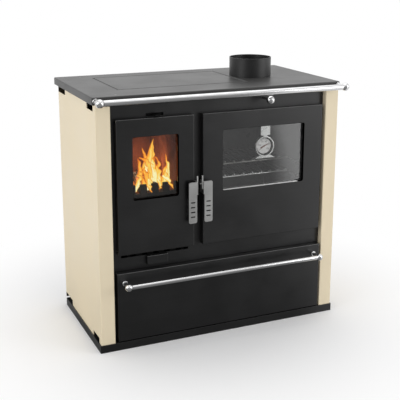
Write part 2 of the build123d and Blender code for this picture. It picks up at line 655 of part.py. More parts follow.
hotplate_x = (HOTPLATE_LEFT, HOTPLATE_RIGHT)
hotplate_y = (HOTPLATE_FRONT, HOTPLATE_BACK)
hob_screw_spacing_x = 2 * (HOB_OUTER - HOB_SCREW_SIDE)
hob_screw_spacing_y = HOB_BACK - HOB_FRONT - 2 * HOB_SCREW_FRONT
hob_centre_y = (HOB_FRONT + HOB_BACK) / 2


hob_x = (-HOB_OUTER, HOB_OUTER)
hob_y = (HOB_FRONT, HOB_BACK)
skirt_z = (BODY_TOP, HOB_UNDERSIDE)
ledge_z = (HOB_UNDERSIDE - HOTPLATE_LEDGE_THICKNESS, HOB_UNDERSIDE)
ledge_outer_x = widened(hotplate_x, HOTPLATE_GAP + HOTPLATE_LEDGE_OUT)
ledge_outer_y = widened(hotplate_y, HOTPLATE_GAP + HOTPLATE_LEDGE_OUT)
ledge_inner_x = widened(hotplate_x, -HOTPLATE_LAP)
ledge_inner_y = widened(hotplate_y, -HOTPLATE_LAP)


def rounded_hob(z):
    """Block of the hob's outline between two heights, with its upright edges rounded."""
    with BuildPart() as block:
        slab(hob_x, hob_y, z)
        fillet(block.edges().filter_by(Axis.Z), radius=HOB_CORNER_RADIUS)
    return block


def border_strip(z, along_x, side):
    """One of the four strips under the hob's edge, cut from its rounded outline."""
    inner_x = widened(hob_x, -HOB_SKIRT)
    inner_y = widened(hob_y, -HOB_SKIRT)
    strip_x = inner_x if along_x else sorted((side * HOB_OUTER, side * inner_x[1]))
    strip_y = hob_y
    if along_x:
        strip_y = (hob_y[0], inner_y[0]) if side < 0 else (inner_y[1], hob_y[1])
    with BuildPart() as strip:
        add(rounded_hob(z).part)
        slab(strip_x, strip_y, z, Mode.INTERSECT)
    return strip


with BuildPart() as hob_plate:
    add(rounded_hob((HOB_UNDERSIDE, HOB_TOP)).part)
    fillet(hob_plate.faces().sort_by(Axis.Z)[-1].edges(), radius=HOB_EDGE_RADIUS)
    slab(
        widened(hotplate_x, HOTPLATE_GAP),
        widened(hotplate_y, HOTPLATE_GAP),
        (HOB_UNDERSIDE, HOB_TOP),
        Mode.SUBTRACT,
    )
    with BuildSketch(Plane.XY.offset(HOB_TOP)):
        with Locations((sum(hotplate_x) / 2, sum(hotplate_y) / 2)):
            Rectangle(
                hotplate_x[1] - hotplate_x[0] + 2 * (HOTPLATE_GAP + HOTPLATE_CHAMFER),
                hotplate_y[1] - hotplate_y[0] + 2 * (HOTPLATE_GAP + HOTPLATE_CHAMFER),
            )
    extrude(amount=-HOTPLATE_CHAMFER, taper=45, mode=Mode.SUBTRACT)
    flue_hole_radius = FLUE_RADIUS - FLUE_SHOULDER + FLUE_SHOULDER_GAP
    rod((FLUE_X, FLUE_Y, HOB_UNDERSIDE), UPWARDS, flue_hole_radius, HOB_PLATE, Mode.SUBTRACT)
    with Locations((0, hob_centre_y, HOB_TOP)):
        with GridLocations(hob_screw_spacing_x, hob_screw_spacing_y, 2, 2):
            CounterSinkHole(
                HOB_SCREW_RADIUS,
                HOB_SCREW_HEAD_RADIUS,
                depth=HOB_PLATE,
                counter_sink_angle=90,
            )
hob_strips = []
for side in (-1, 1):
    for along_x in (True, False):
        hob_strips += border_strip(skirt_z, along_x, side).part.solids()
with BuildPart() as ledge_ends:
    slab((ledge_outer_x[0], ledge_inner_x[0]), ledge_outer_y, ledge_z)
    slab((ledge_inner_x[1], ledge_outer_x[1]), ledge_outer_y, ledge_z)
with BuildPart() as ledge_sides:
    slab(ledge_inner_x, (ledge_outer_y[0], ledge_inner_y[0]), ledge_z)
    slab(ledge_inner_x, (ledge_inner_y[1], ledge_outer_y[1]), ledge_z)
# Steel plate with border strips and hotplate ledges welded under it.
hob_frame = Compound(
    label="hob_frame",
    children=[
        *hob_plate.part.solids(),
        *hob_strips,
        *ledge_ends.part.solids(),
        *ledge_sides.part.solids(),
    ],
)
export_step(hob_frame, "parts/hob_frame.step")

with BuildPart() as hotplate:
    slab(hotplate_x, hotplate_y, (HOB_UNDERSIDE + SEAT_GAP, HOB_TOP))
    fillet(hotplate.edges().filter_by(Axis.Z), radius=HOTPLATE_CORNER_RADIUS)
    chamfer(hotplate.faces().sort_by(Axis.Z)[-1].edges(), length=HOTPLATE_CHAMFER)
hotplate.part.label = "hotplate"
export_step(hotplate.part, "parts/hotplate.step")

with BuildPart() as hob_screws:
    with Locations((0, hob_centre_y, HOB_TOP - HOB_SCREW_SINK)):
        with GridLocations(hob_screw_spacing_x, hob_screw_spacing_y, 2, 2):
            head = HOB_SCREW_HEAD_RADIUS - HOB_SCREW_RADIUS
            Cone(
                HOB_SCREW_RADIUS,
                HOB_SCREW_HEAD_RADIUS - HOB_SCREW_SINK,
                head - HOB_SCREW_SINK,
                align=(Align.CENTER, Align.CENTER, Align.MAX),
            )
            Cylinder(
                HOB_SCREW_RADIUS - SEAT_GAP / 2,
                HOB_SCREW_LENGTH,
                align=(Align.CENTER, Align.CENTER, Align.MAX),
            )
            Box(
                2 * HOB_SCREW_HEAD_RADIUS,
                HOB_SCREW_SLOT,
                HOB_SCREW_SLOT,
                align=(Align.CENTER, Align.CENTER, Align.MAX),
                mode=Mode.SUBTRACT,
            )
hob_screws.part.label = "hob_screws"
export_step(hob_screws.part, "parts/hob_screws.step")

with BuildPart() as flue_collar:
    foot = (FLUE_X, FLUE_Y, HOB_UNDERSIDE)
    rod(foot, UPWARDS, FLUE_RADIUS - FLUE_SHOULDER, HOB_PLATE + FLUE_FOOT_HEIGHT)
    spigot = (FLUE_X, FLUE_Y, HOB_TOP + FLUE_FOOT_HEIGHT)
    rod(spigot, UPWARDS, FLUE_RADIUS, FLUE_HEIGHT - FLUE_FOOT_HEIGHT)
    rod(foot, UPWARDS, FLUE_RADIUS - FLUE_WALL, HOB_PLATE + FLUE_HEIGHT, Mode.SUBTRACT)
flue_collar.part.label = "flue_collar"
export_step(flue_collar.part, "parts/flue_collar.step")

# Box that joins the flue to the rear smoke passage, with the bypass opening in its front.
with BuildPart() as flue_box:
    box_x = (FLUE_X - FLUE_BOX_LEFT_REACH, FLUE_X + FLUE_BOX_RIGHT_REACH)
    box_z = (OVEN_CEILING, HOB_UNDERSIDE)
    slab(box_x, (FLUE_BOX_FRONT, BACK_PLATE_FRONT), box_z)
    slab(
        widened(box_x, -FLUE_BOX_SHEET),
        (FLUE_BOX_FRONT + FLUE_BOX_SHEET, BACK_PLATE_FRONT),
        box_z,
        Mode.SUBTRACT,
    )
    slab(
        (DAMPER_PLATE_X - DAMPER_OPENING_WIDTH / 2, DAMPER_PLATE_X + DAMPER_OPENING_WIDTH / 2),
        (FLUE_BOX_FRONT, FLUE_BOX_FRONT + FLUE_BOX_SHEET),
        (DAMPER_OPENING_BOTTOM, DAMPER_OPENING_BOTTOM + DAMPER_OPENING_HEIGHT),
        Mode.SUBTRACT,
    )
flue_box.part.label = "flue_box"
export_step(flue_box.part, "parts/flue_box.step")

# ---------------------------------------------------------------- towel rail


def rail_bar(y, z, radius, half_span, ball_radius):
    """Straight bar with a narrower neck at each end, ending on the end balls' flats."""
    flat = half_span - ball_flat(ball_radius)
    with BuildPart() as bar:
        rod((-flat, y, z), RIGHTWARDS, RAIL_NECK_RADIUS, 2 * flat)
        rod((-flat + RAIL_NECK_LENGTH, y, z), RIGHTWARDS, radius, 2 * (flat - RAIL_NECK_LENGTH))
        shoulders = bar.edges().filter_by(GeomType.CIRCLE).filter_by(lambda edge: edge.radius == radius)
        fillet(shoulders, radius=radius / 5)
    return bar


def ball_flat(ball_radius):
    """Distance from an end ball's centre to the flat that the neck meets."""
    return (ball_radius**2 - RAIL_NECK_RADIUS**2) ** 0.5


def rail_brackets(y, z, half_span, ball_radius, seat_y):
    """End balls, each on a round post with a boss that seats on the panel behind it."""
    with BuildPart() as brackets:
        for side in (-1, 1):
            x = side * half_span
            with Locations((x, y, z)):
                Sphere(ball_radius)
            flat = x - side * ball_flat(ball_radius)
            inner = sorted((flat, flat - side * ball_radius))
            slab(inner, widened((y, y), 2 * ball_radius), widened((z, z), 2 * ball_radius), Mode.SUBTRACT)
            rod((x, y, z), BACKWARDS, RAIL_NECK_RADIUS, seat_y - y)
            rod((x, seat_y - RAIL_BOSS_LENGTH, z), BACKWARDS, RAIL_BOSS_RADIUS, RAIL_BOSS_LENGTH)
    return brackets


towel_rail = rail_bar(
    TOWEL_RAIL_Y, TOWEL_RAIL_Z, TOWEL_RAIL_RADIUS, TOWEL_RAIL_HALF_SPAN, TOWEL_BALL_RADIUS
)
towel_rail.part.label = "towel_rail"
export_step(towel_rail.part, "parts/towel_rail.step")

towel_rail_brackets = rail_brackets(
    TOWEL_RAIL_Y, TOWEL_RAIL_Z, TOWEL_RAIL_HALF_SPAN, TOWEL_BALL_RADIUS, HOB_FRONT
)
towel_rail_brackets.part.label = "towel_rail_brackets"
export_step(towel_rail_brackets.part, "parts/towel_rail_brackets.step")

# ---------------------------------------------------------------- smoke damper

damper_knob_y = FRAME_FRONT - DAMPER_KNOB_STANDOFF
knob_flat = (DAMPER_KNOB_RADIUS**2 - DAMPER_ROD_RADIUS**2) ** 0.5
damper_plate_front = FLUE_BOX_FRONT - SEAT_GAP - DAMPER_PLATE_THICKNESS
with BuildPart() as damper_knob:
    with Locations((DAMPER_X, damper_knob_y, DAMPER_Z)):
        Sphere(DAMPER_KNOB_RADIUS)
    slab(
        (DAMPER_X - DAMPER_KNOB_RADIUS, DAMPER_X + DAMPER_KNOB_RADIUS),
        (damper_knob_y + knob_flat, damper_knob_y + DAMPER_KNOB_RADIUS),
        (DAMPER_Z - DAMPER_KNOB_RADIUS, DAMPER_Z + DAMPER_KNOB_RADIUS),
        Mode.SUBTRACT,
    )
damper_knob.part.label = "damper_knob"
export_step(damper_knob.part, "parts/damper_knob.step")

with BuildPart() as damper_rod:
    rod_start = damper_knob_y + knob_flat
    rod((DAMPER_X, rod_start, DAMPER_Z), BACKWARDS, DAMPER_ROD_RADIUS, damper_plate_front - rod_start)
damper_rod.part.label = "damper_rod"
export_step(damper_rod.part, "parts/damper_rod.step")

with BuildPart() as damper_plate:
    with BuildSketch(Plane.XZ.offset(-damper_plate_front - DAMPER_PLATE_THICKNESS)):
        with Locations((DAMPER_PLATE_X, DAMPER_OPENING_BOTTOM + DAMPER_OPENING_HEIGHT / 2)):
            RectangleRounded(
                DAMPER_OPENING_WIDTH + 2 * DAMPER_PLATE_LAP,
                DAMPER_OPENING_HEIGHT + 2 * DAMPER_PLATE_LAP,
                DAMPER_ROD_RADIUS,
            )
    extrude(amount=DAMPER_PLATE_THICKNESS)
damper_plate.part.label = "damper_plate"
export_step(damper_plate.part, "parts/damper_plate.step")

# ---------------------------------------------------------------- firebox

with BuildPart() as firebox_casing:
    casing_x = (FIREBOX_LEFT - CASING_SHEET, FIREBOX_RIGHT + CASING_SHEET)
    slab(casing_x, (FRAME_BACK, FIREBOX_BACK + CASING_SHEET), (HEARTH_PLATE_TOP, FIREBOX_TOP))
    slab(
        (FIREBOX_LEFT, FIREBOX_RIGHT),
        (FRAME_BACK, FIREBOX_BACK),
        (ASH_SHELF_TOP, FIREBOX_TOP),
        Mode.SUBTRACT,
    )
    slab(
        (FIREBOX_LEFT, FIREBOX_RIGHT),
        (FRAME_BACK, FIREBOX_BACK),
        (HEARTH_PLATE_TOP, ASH_SHELF_TOP - CASING_SHEET),
        Mode.SUBTRACT,
    )
    slab(
        widened((FIRE_OPENING_LEFT, FIRE_OPENING_RIGHT), -BRICK_THICKNESS),
        (ASH_PAN_BACK + ASH_SLOT_SPACE, FIREBOX_BACK - CASING_SHEET),
        (ASH_SHELF_TOP - CASING_SHEET, ASH_SHELF_TOP),
        Mode.SUBTRACT,
    )
firebox_casing.part.label = "firebox_casing"
export_step(firebox_casing.part, "parts/firebox_casing.step")

grate_x = (GRATE_CENTRE_X - GRATE_WIDTH / 2, GRATE_CENTRE_X + GRATE_WIDTH / 2)
grate_y = (GRATE_CENTRE_Y - GRATE_DEPTH / 2, GRATE_CENTRE_Y + GRATE_DEPTH / 2)
with BuildPart() as grate_shelf:
    slab(
        (FIREBOX_LEFT, FIREBOX_RIGHT),
        (FRAME_BACK, FIREBOX_BACK),
        (GRATE_SHELF_TOP - CASING_SHEET, GRATE_SHELF_TOP),
    )
    slab(
        widened(grate_x, -GRATE_LEDGE),
        widened(grate_y, -GRATE_LEDGE),
        (GRATE_SHELF_TOP - CASING_SHEET, GRATE_SHELF_TOP),
        Mode.SUBTRACT,
    )
grate_shelf.part.label = "grate_shelf"
export_step(grate_shelf.part, "parts/grate_shelf.step")

with BuildPart() as fire_grate:
    slab(grate_x, grate_y, (GRATE_SHELF_TOP, GRATE_SHELF_TOP + GRATE_THICKNESS))
    fillet(fire_grate.edges().filter_by(Axis.Z), radius=GRATE_BAR)
    slot_pitch = (GRATE_WIDTH - GRATE_BAR) / GRATE_SLOTS
    with BuildSketch(Plane.XY.offset(GRATE_SHELF_TOP)):
        with Locations((GRATE_CENTRE_X, GRATE_CENTRE_Y)):
            with GridLocations(slot_pitch, 0, GRATE_SLOTS, 1):
                SlotOverall(GRATE_DEPTH - 2 * GRATE_LEDGE - GRATE_BAR, slot_pitch - GRATE_BAR, rotation=90)
    extrude(amount=GRATE_THICKNESS, mode=Mode.SUBTRACT)
fire_grate.part.label = "fire_grate"
export_step(fire_grate.part, "parts/fire_grate.step")

# Fence across the front of the fire, with a notched top edge.
with BuildPart() as log_guard:
    guard_y = FRAME_BACK + GUARD_SETBACK
    slab(
        widened((FIRE_OPENING_LEFT, FIRE_OPENING_RIGHT), -SEAT_GAP),
        (guard_y - GUARD_THICKNESS, guard_y),
        (GRATE_SHELF_TOP, GUARD_TOP),
    )
    guard_count = int((FIRE_OPENING_RIGHT - FIRE_OPENING_LEFT) / GUARD_PITCH)
    with Locations((GRATE_CENTRE_X, guard_y - GUARD_THICKNESS / 2, GUARD_TOP)):
        with GridLocations(GUARD_PITCH, 0, guard_count, 1):
            Box(
                GUARD_SLOT_WIDTH,
                GUARD_THICKNESS,
                2 * GUARD_SLOT_DEPTH,
                mode=Mode.SUBTRACT,
            )
log_guard.part.label = "log_guard"
export_step(log_guard.part, "parts/log_guard.step")

with BuildPart() as ash_pan:
    pan_x = widened((FIRE_OPENING_LEFT, FIRE_OPENING_RIGHT), -ASH_PAN_MARGIN)
    pan_y = (ASH_PAN_FRONT, ASH_PAN_BACK)
    pan_z = (ASH_SHELF_TOP, ASH_SHELF_TOP + ASH_PAN_HEIGHT)
    slab(pan_x, pan_y, pan_z)
    fillet(ash_pan.edges().filter_by(Axis.Z), radius=3 * ASH_PAN_SHEET)
    slab(
        widened(pan_x, -ASH_PAN_SHEET),
        widened(pan_y, -ASH_PAN_SHEET),
        (pan_z[0] + ASH_PAN_SHEET, pan_z[1]),
        Mode.SUBTRACT,
    )
ash_pan.part.label = "ash_pan"
export_step(ash_pan.part, "parts/ash_pan.step")


def brick_wall(x, y, columns):
    """Rows of fire bricks that fill a rectangle of the floor plan, with thin joints."""
    along_x = (x[1] - x[0]) > (y[1] - y[0])
    run = x if along_x else y
    length = (run[1] - run[0] - (columns - 1) * BRICK_JOINT) / columns
    with BuildPart() as wall:
        for row in range(BRICK_ROWS):
            low = GRATE_SHELF_TOP + row * (BRICK_HEIGHT + BRICK_JOINT)
            for column in range(columns):
                start = run[0] + column * (length + BRICK_JOINT)
                piece = (start, start + length)
                slab(piece if along_x else x, y if along_x else piece, (low, low + BRICK_HEIGHT))
    return wall


side_y = (FRAME_BACK, FIREBOX_BACK)
left_brick_x = (FIREBOX_LEFT, FIREBOX_LEFT + BRICK_THICKNESS - SEAT_GAP)
right_brick_x = (FIREBOX_RIGHT - BRICK_THICKNESS + SEAT_GAP, FIREBOX_RIGHT)
left_bricks = brick_wall(left_brick_x, side_y, SIDE_BRICK_COLUMNS)
right_bricks = brick_wall(right_brick_x, side_y, SIDE_BRICK_COLUMNS)
side_firebricks = Compound(
    label="side_firebricks", children=[*left_bricks.part.solids(), *right_bricks.part.solids()]
)
export_step(side_firebricks, "parts/side_firebricks.step")

back_firebricks = brick_wall(
    (left_brick_x[1], right_brick_x[0]), (FIREBOX_BACK - BRICK_THICKNESS, FIREBOX_BACK), BACK_BRICK_COLUMNS
)
back_firebricks.part.label = "back_firebricks"
export_step(back_firebricks.part, "parts/back_firebricks.step")

# ---------------------------------------------------------------- oven

cavity_x = (OVEN_OPENING_LEFT, OVEN_OPENING_RIGHT)
with BuildPart() as oven_box:
    slab(widened(cavity_x, OVEN_SHEET), (FRAME_BACK, OVEN_BACK), (OVEN_FLOOR, OVEN_CEILING))
    slab(
        cavity_x,
        (FRAME_BACK, OVEN_BACK - OVEN_SHEET),
        (OVEN_FLOOR + OVEN_SHEET, OVEN_CEILING - OVEN_SHEET),
        Mode.SUBTRACT,
    )
    for rack_z in (RACK_LOWER_Z, RACK_UPPER_Z):
        ledge_top = rack_z - RACK_FRAME_WIRE - SEAT_GAP
        ledge_z = (ledge_top - RACK_LEDGE_THICKNESS, ledge_top)
        ledge_y = (FRAME_BACK + OVEN_SHEET, OVEN_BACK - OVEN_SHEET)
        slab((cavity_x[0], cavity_x[0] + RACK_LEDGE_WIDTH), ledge_y, ledge_z)
        slab((cavity_x[1] - RACK_LEDGE_WIDTH, cavity_x[1]), ledge_y, ledge_z)
oven_box.part.label = "oven_box"
export_step(oven_box.part, "parts/oven_box.step")


def oven_rack(z):
    """Wire shelf: a round-wire border with thinner wires running front to back."""
    x = widened(cavity_x, -RACK_SIDE_GAP - RACK_FRAME_WIRE)
    centre = (x[0] + x[1]) / 2
    with BuildPart() as rack:
        with BuildLine():
            corners = (
                (x[0], RACK_FRONT, z),
                (x[1], RACK_FRONT, z),
                (x[1], RACK_BACK, z),
                (x[0], RACK_BACK, z),
            )
            border = FilletPolyline(*corners, radius=4 * RACK_FRAME_WIRE, close=True)
        with BuildSketch(Plane(origin=border @ 0, z_dir=border % 0)):
            Circle(RACK_FRAME_WIRE)
        sweep(path=border)
        count = int((x[1] - x[0] - RACK_WIRE_PITCH) / RACK_WIRE_PITCH) + 1
        for index in range(count):
            wire_x = centre + (index - (count - 1) / 2) * RACK_WIRE_PITCH
            rod((wire_x, RACK_FRONT, z), BACKWARDS, RACK_WIRE, RACK_BACK - RACK_FRONT)
    return rack


lower_oven_rack = oven_rack(RACK_LOWER_Z)
lower_oven_rack.part.label = "lower_oven_rack"
export_step(lower_oven_rack.part, "parts/lower_oven_rack.step")

upper_oven_rack = oven_rack(RACK_UPPER_Z)
upper_oven_rack.part.label = "upper_oven_rack"
export_step(upper_oven_rack.part, "parts/upper_oven_rack.step")

# ---------------------------------------------------------------- doors

door_z = (DOOR_BOTTOM, DOOR_TOP)
window_z = (WINDOW_BOTTOM, WINDOW_TOP)
fire_door_x = (FIRE_DOOR_LEFT, FIRE_DOOR_RIGHT)
oven_door_x = (OVEN_DOOR_LEFT, OVEN_DOOR_RIGHT)
fire_window_x = (FIRE_WINDOW_LEFT, FIRE_WINDOW_RIGHT)
oven_window_x = (OVEN_WINDOW_LEFT, OVEN_WINDOW_RIGHT)
inner_z = (INNER_FRAME_BOTTOM, INNER_FRAME_TOP)
inner_y = (SKIN_BACK, INNER_FRAME_BACK)
glass_z = widened(window_z, GLASS_LAP)
fire_hinge_x = FIRE_DOOR_LEFT + HINGE_INSET
oven_hinge_x = OVEN_DOOR_RIGHT - HINGE_INSET
lug_levels = (LUG_BOTTOM_LOW, LUG_TOP_LOW)


def rounded_block(x, y, z, radius, mode=Mode.ADD):
    """Block between pairs of x, y and z values, with its corners rounded as seen from the front."""
    with BuildSketch(Plane.XZ.offset(-y[1])) as outline:
        with Locations((sum(x) / 2, sum(z) / 2)):
            RectangleRounded(x[1] - x[0], z[1] - z[0], radius)
    extrude(outline.sketch, amount=y[1] - y[0], mode=mode)


def door_panel(door_x, window_x, hinge_edge, hinge_x, latch_edge, latch_side):
    """Folded door pan with a window that has a deep reveal, open at the back."""
    with BuildPart() as panel:
        slab(door_x, (DOOR_FRONT, DOOR_BACK), door_z)
        fillet(panel.faces().sort_by(Axis.Y)[0].edges(), radius=DOOR_EDGE_RADIUS)
        hollow_x = widened(door_x, -DOOR_SHEET)
        hollow_z = widened(door_z, -DOOR_SHEET)
        slab(hollow_x, (SKIN_BACK, DOOR_BACK), hollow_z, Mode.SUBTRACT)
        rounded_block(
            widened(window_x, DOOR_SHEET),
            (SKIN_BACK, GLASS_FRONT),
            widened(window_z, DOOR_SHEET),
            WINDOW_CORNER + DOOR_SHEET,
        )
        rounded_block(window_x, (DOOR_FRONT, GLASS_FRONT), window_z, WINDOW_CORNER, Mode.SUBTRACT)
        hinge_band = sorted((hinge_edge, hinge_x))
        slab(hinge_band, (HINGE_Y + HINGE_RELIEF, DOOR_BACK), door_z, Mode.SUBTRACT)
        for low in lug_levels:
            notch_low = max(low - HINGE_NOTCH_GAP, DOOR_BOTTOM + DOOR_SHEET)
            notch_high = min(low + HINGE_LUG_THICKNESS + HINGE_NOTCH_GAP, DOOR_TOP - DOOR_SHEET)
            slab(hinge_band, (SKIN_BACK, DOOR_BACK), (notch_low, notch_high), Mode.SUBTRACT)
        rod(
            (latch_edge, LATCH_PIVOT_Y, LATCH_PIVOT_Z),
            (-latch_side, 0, 0),
            LATCH_BOLT_RADIUS + LATCH_BOLT_GAP,
            DOOR_SHEET,
            Mode.SUBTRACT,
        )
    return panel


def gasket_ring(door_x, margin, y):
    """Rectangular ring that lies in the inner frame's groove, narrower than it by a margin."""
    outer_x = widened(door_x, -INNER_FRAME_INSET - GASKET_INSET - margin)
    outer_z = widened(door_z, -INNER_FRAME_INSET - GASKET_INSET - margin)
    width = GASKET_WIDTH - 2 * margin
    with BuildPart() as ring:
        rounded_block(outer_x, y, outer_z, GASKET_WIDTH)
        inner_x = widened(outer_x, -width)
        rounded_block(inner_x, y, widened(outer_z, -width), GASKET_WIDTH - width / 2, Mode.SUBTRACT)
    return ring


def inner_frame(door_x):
    """Cast frame inside the pan that stiffens the door and holds the rope seal in a groove."""
    groove = gasket_ring(door_x, 0, (INNER_FRAME_BACK - GASKET_GROOVE, INNER_FRAME_BACK))
    ring_x = widened(door_x, -INNER_FRAME_INSET)
    with BuildPart() as ring:
        rounded_block(ring_x, inner_y, inner_z, GASKET_WIDTH)
        hole_x = widened(ring_x, -INNER_FRAME_WIDTH)
        hole_z = widened(inner_z, -INNER_FRAME_WIDTH)
        slab(hole_x, inner_y, hole_z, Mode.SUBTRACT)
        add(groove.part, mode=Mode.SUBTRACT)
    return ring


def glass_pane(window_x):
    """Flat pane that laps the window's reveal all round."""
    with BuildPart() as pane:
        rounded_block(
            widened(window_x, GLASS_LAP), (GLASS_FRONT, GLASS_BACK), glass_z, WINDOW_CORNER + DOOR_SHEET
        )
    return pane


def glass_clips(door_x, window_x):
    """Four bent clips that reach from the inner frame's back over the pane's edges."""
    ring_x = widened(door_x, -INNER_FRAME_INSET - INNER_FRAME_WIDTH)
    clip_y = (INNER_FRAME_BACK, INNER_FRAME_BACK + CLIP_SHEET)
    foot_y = (GLASS_BACK + SEAT_GAP / 3, INNER_FRAME_BACK)
    with BuildPart() as clips:
        for level in (WINDOW_BOTTOM + WINDOW_HEIGHT / 4, WINDOW_TOP - WINDOW_HEIGHT / 4):
            clip_z = (level - CLIP_WIDTH / 2, level + CLIP_WIDTH / 2)
            slab((ring_x[0] - CLIP_LAP, window_x[0] - CLIP_GAP), clip_y, clip_z)
            slab((window_x[0] - GLASS_LAP + CLIP_GAP, window_x[0] - CLIP_GAP), foot_y, clip_z)
            slab((window_x[1] + CLIP_GAP, ring_x[1] + CLIP_LAP), clip_y, clip_z)
            slab((window_x[1] + CLIP_GAP, window_x[1] + GLASS_LAP - CLIP_GAP), foot_y, clip_z)
    return clips


def hinge_pins(hinge_x):
    """Upper pin that hangs from the pan's top fold and lower pin that stands on its bottom fold."""
    with BuildPart() as pins:
        length = SEAT_GAP + HINGE_LUG_THICKNESS + HINGE_PIN_RADIUS
        rod((hinge_x, HINGE_Y, DOOR_BOTTOM + DOOR_SHEET), UPWARDS, HINGE_PIN_RADIUS, length)
        rod((hinge_x, HINGE_Y, DOOR_TOP - DOOR_SHEET), DOWNWARDS, HINGE_PIN_RADIUS, length)
    return pins


fire_door_panel = door_panel(fire_door_x, fire_window_x, FIRE_DOOR_LEFT, fire_hinge_x, FIRE_DOOR_RIGHT, 1)
fire_door_panel.part.label = "fire_door_panel"
export_step(fire_door_panel.part, "parts/fire_door_panel.step")

fire_door_inner_frame = inner_frame(fire_door_x)
fire_door_inner_frame.part.label = "fire_door_inner_frame"
export_step(fire_door_inner_frame.part, "parts/fire_door_inner_frame.step")

fire_door_glass = glass_pane(fire_window_x)
fire_door_glass.part.label = "fire_door_glass"
export_step(fire_door_glass.part, "parts/fire_door_glass.step")

gasket_y = (INNER_FRAME_BACK - GASKET_GROOVE, FRAME_FRONT - SEAT_GAP)
fire_door_gasket = gasket_ring(fire_door_x, GASKET_SIDE_GAP, gasket_y)
fire_door_gasket.part.label = "fire_door_gasket"
export_step(fire_door_gasket.part, "parts/fire_door_gasket.step")

fire_door_clips = glass_clips(fire_door_x, fire_window_x)
fire_door_clips.part.label = "fire_door_clips"
export_step(fire_door_clips.part, "parts/fire_door_clips.step")

# Heat shield across the inner frame, from its bottom bar to just below the glass.
with BuildPart() as fire_door_liner:
    liner_top = WINDOW_BOTTOM - GLASS_LAP - LINER_SHEET
    slab(
        widened(fire_door_x, -INNER_FRAME_INSET - INNER_FRAME_WIDTH),
        (INNER_FRAME_BACK - LINER_SHEET, INNER_FRAME_BACK),
        (INNER_FRAME_BOTTOM + INNER_FRAME_WIDTH, liner_top),
    )
fire_door_liner.part.label = "fire_door_liner"
export_step(fire_door_liner.part, "parts/fire_door_liner.step")

fire_door_pins = hinge_pins(fire_hinge_x)
fire_door_pins.part.label = "fire_door_pins"
export_step(fire_door_pins.part, "parts/fire_door_pins.step")

oven_door_panel = door_panel(oven_door_x, oven_window_x, OVEN_DOOR_RIGHT, oven_hinge_x, OVEN_DOOR_LEFT, -1)
oven_door_panel.part.label = "oven_door_panel"
export_step(oven_door_panel.part, "parts/oven_door_panel.step")

oven_door_inner_frame = inner_frame(oven_door_x)
oven_door_inner_frame.part.label = "oven_door_inner_frame"
export_step(oven_door_inner_frame.part, "parts/oven_door_inner_frame.step")

oven_door_glass = glass_pane(oven_window_x)
oven_door_glass.part.label = "oven_door_glass"
export_step(oven_door_glass.part, "parts/oven_door_glass.step")

oven_door_gasket = gasket_ring(oven_door_x, GASKET_SIDE_GAP, gasket_y)
oven_door_gasket.part.label = "oven_door_gasket"
export_step(oven_door_gasket.part, "parts/oven_door_gasket.step")

oven_door_clips = glass_clips(oven_door_x, oven_window_x)
oven_door_clips.part.label = "oven_door_clips"
export_step(oven_door_clips.part, "parts/oven_door_clips.step")

oven_door_pins = hinge_pins(oven_hinge_x)
oven_door_pins.part.label = "oven_door_pins"
export_step(oven_door_pins.part, "parts/oven_door_pins.step")


def hinge_lug(hinge_x, side, low):
    """Flat lug: an eye round the hinge axis on a stem that slants back to the door frame."""
    reach = FRAME_FRONT - HINGE_Y
    stem = HINGE_LUG_WIDTH / 2**0.5
    with BuildPart() as lug:
        with BuildSketch(Plane.XY.offset(low)):
            Polygon(
                (hinge_x - side * stem / 2, HINGE_Y + stem / 2),
                (hinge_x + side * stem / 2, HINGE_Y - stem / 2),
                (hinge_x + side * (reach + stem), FRAME_FRONT),
                (hinge_x + side * (reach - stem), FRAME_FRONT),
                align=None,
            )
            with Locations((hinge_x, HINGE_Y)):
                Circle(HINGE_EYE_RADIUS)
                Circle(HINGE_PIN_RADIUS + HINGE_BORE_GAP, mode=Mode.SUBTRACT)
        extrude(amount=HINGE_LUG_THICKNESS)
    return lug


lugs = []
for level in lug_levels:
    lugs += hinge_lug(fire_hinge_x, 1, level).part.solids()
    lugs += hinge_lug(oven_hinge_x, -1, level).part.solids()
door_hinge_lugs = Compound(label="door_hinge_lugs", children=lugs)
export_step(door_hinge_lugs, "parts/door_hinge_lugs.step")

# ---------------------------------------------------------------- door latches

latch_front = DOOR_FRONT - LATCH_STANDOFF
latch_z = (LATCH_TOP - LATCH_PLATE_HEIGHT, LATCH_TOP)


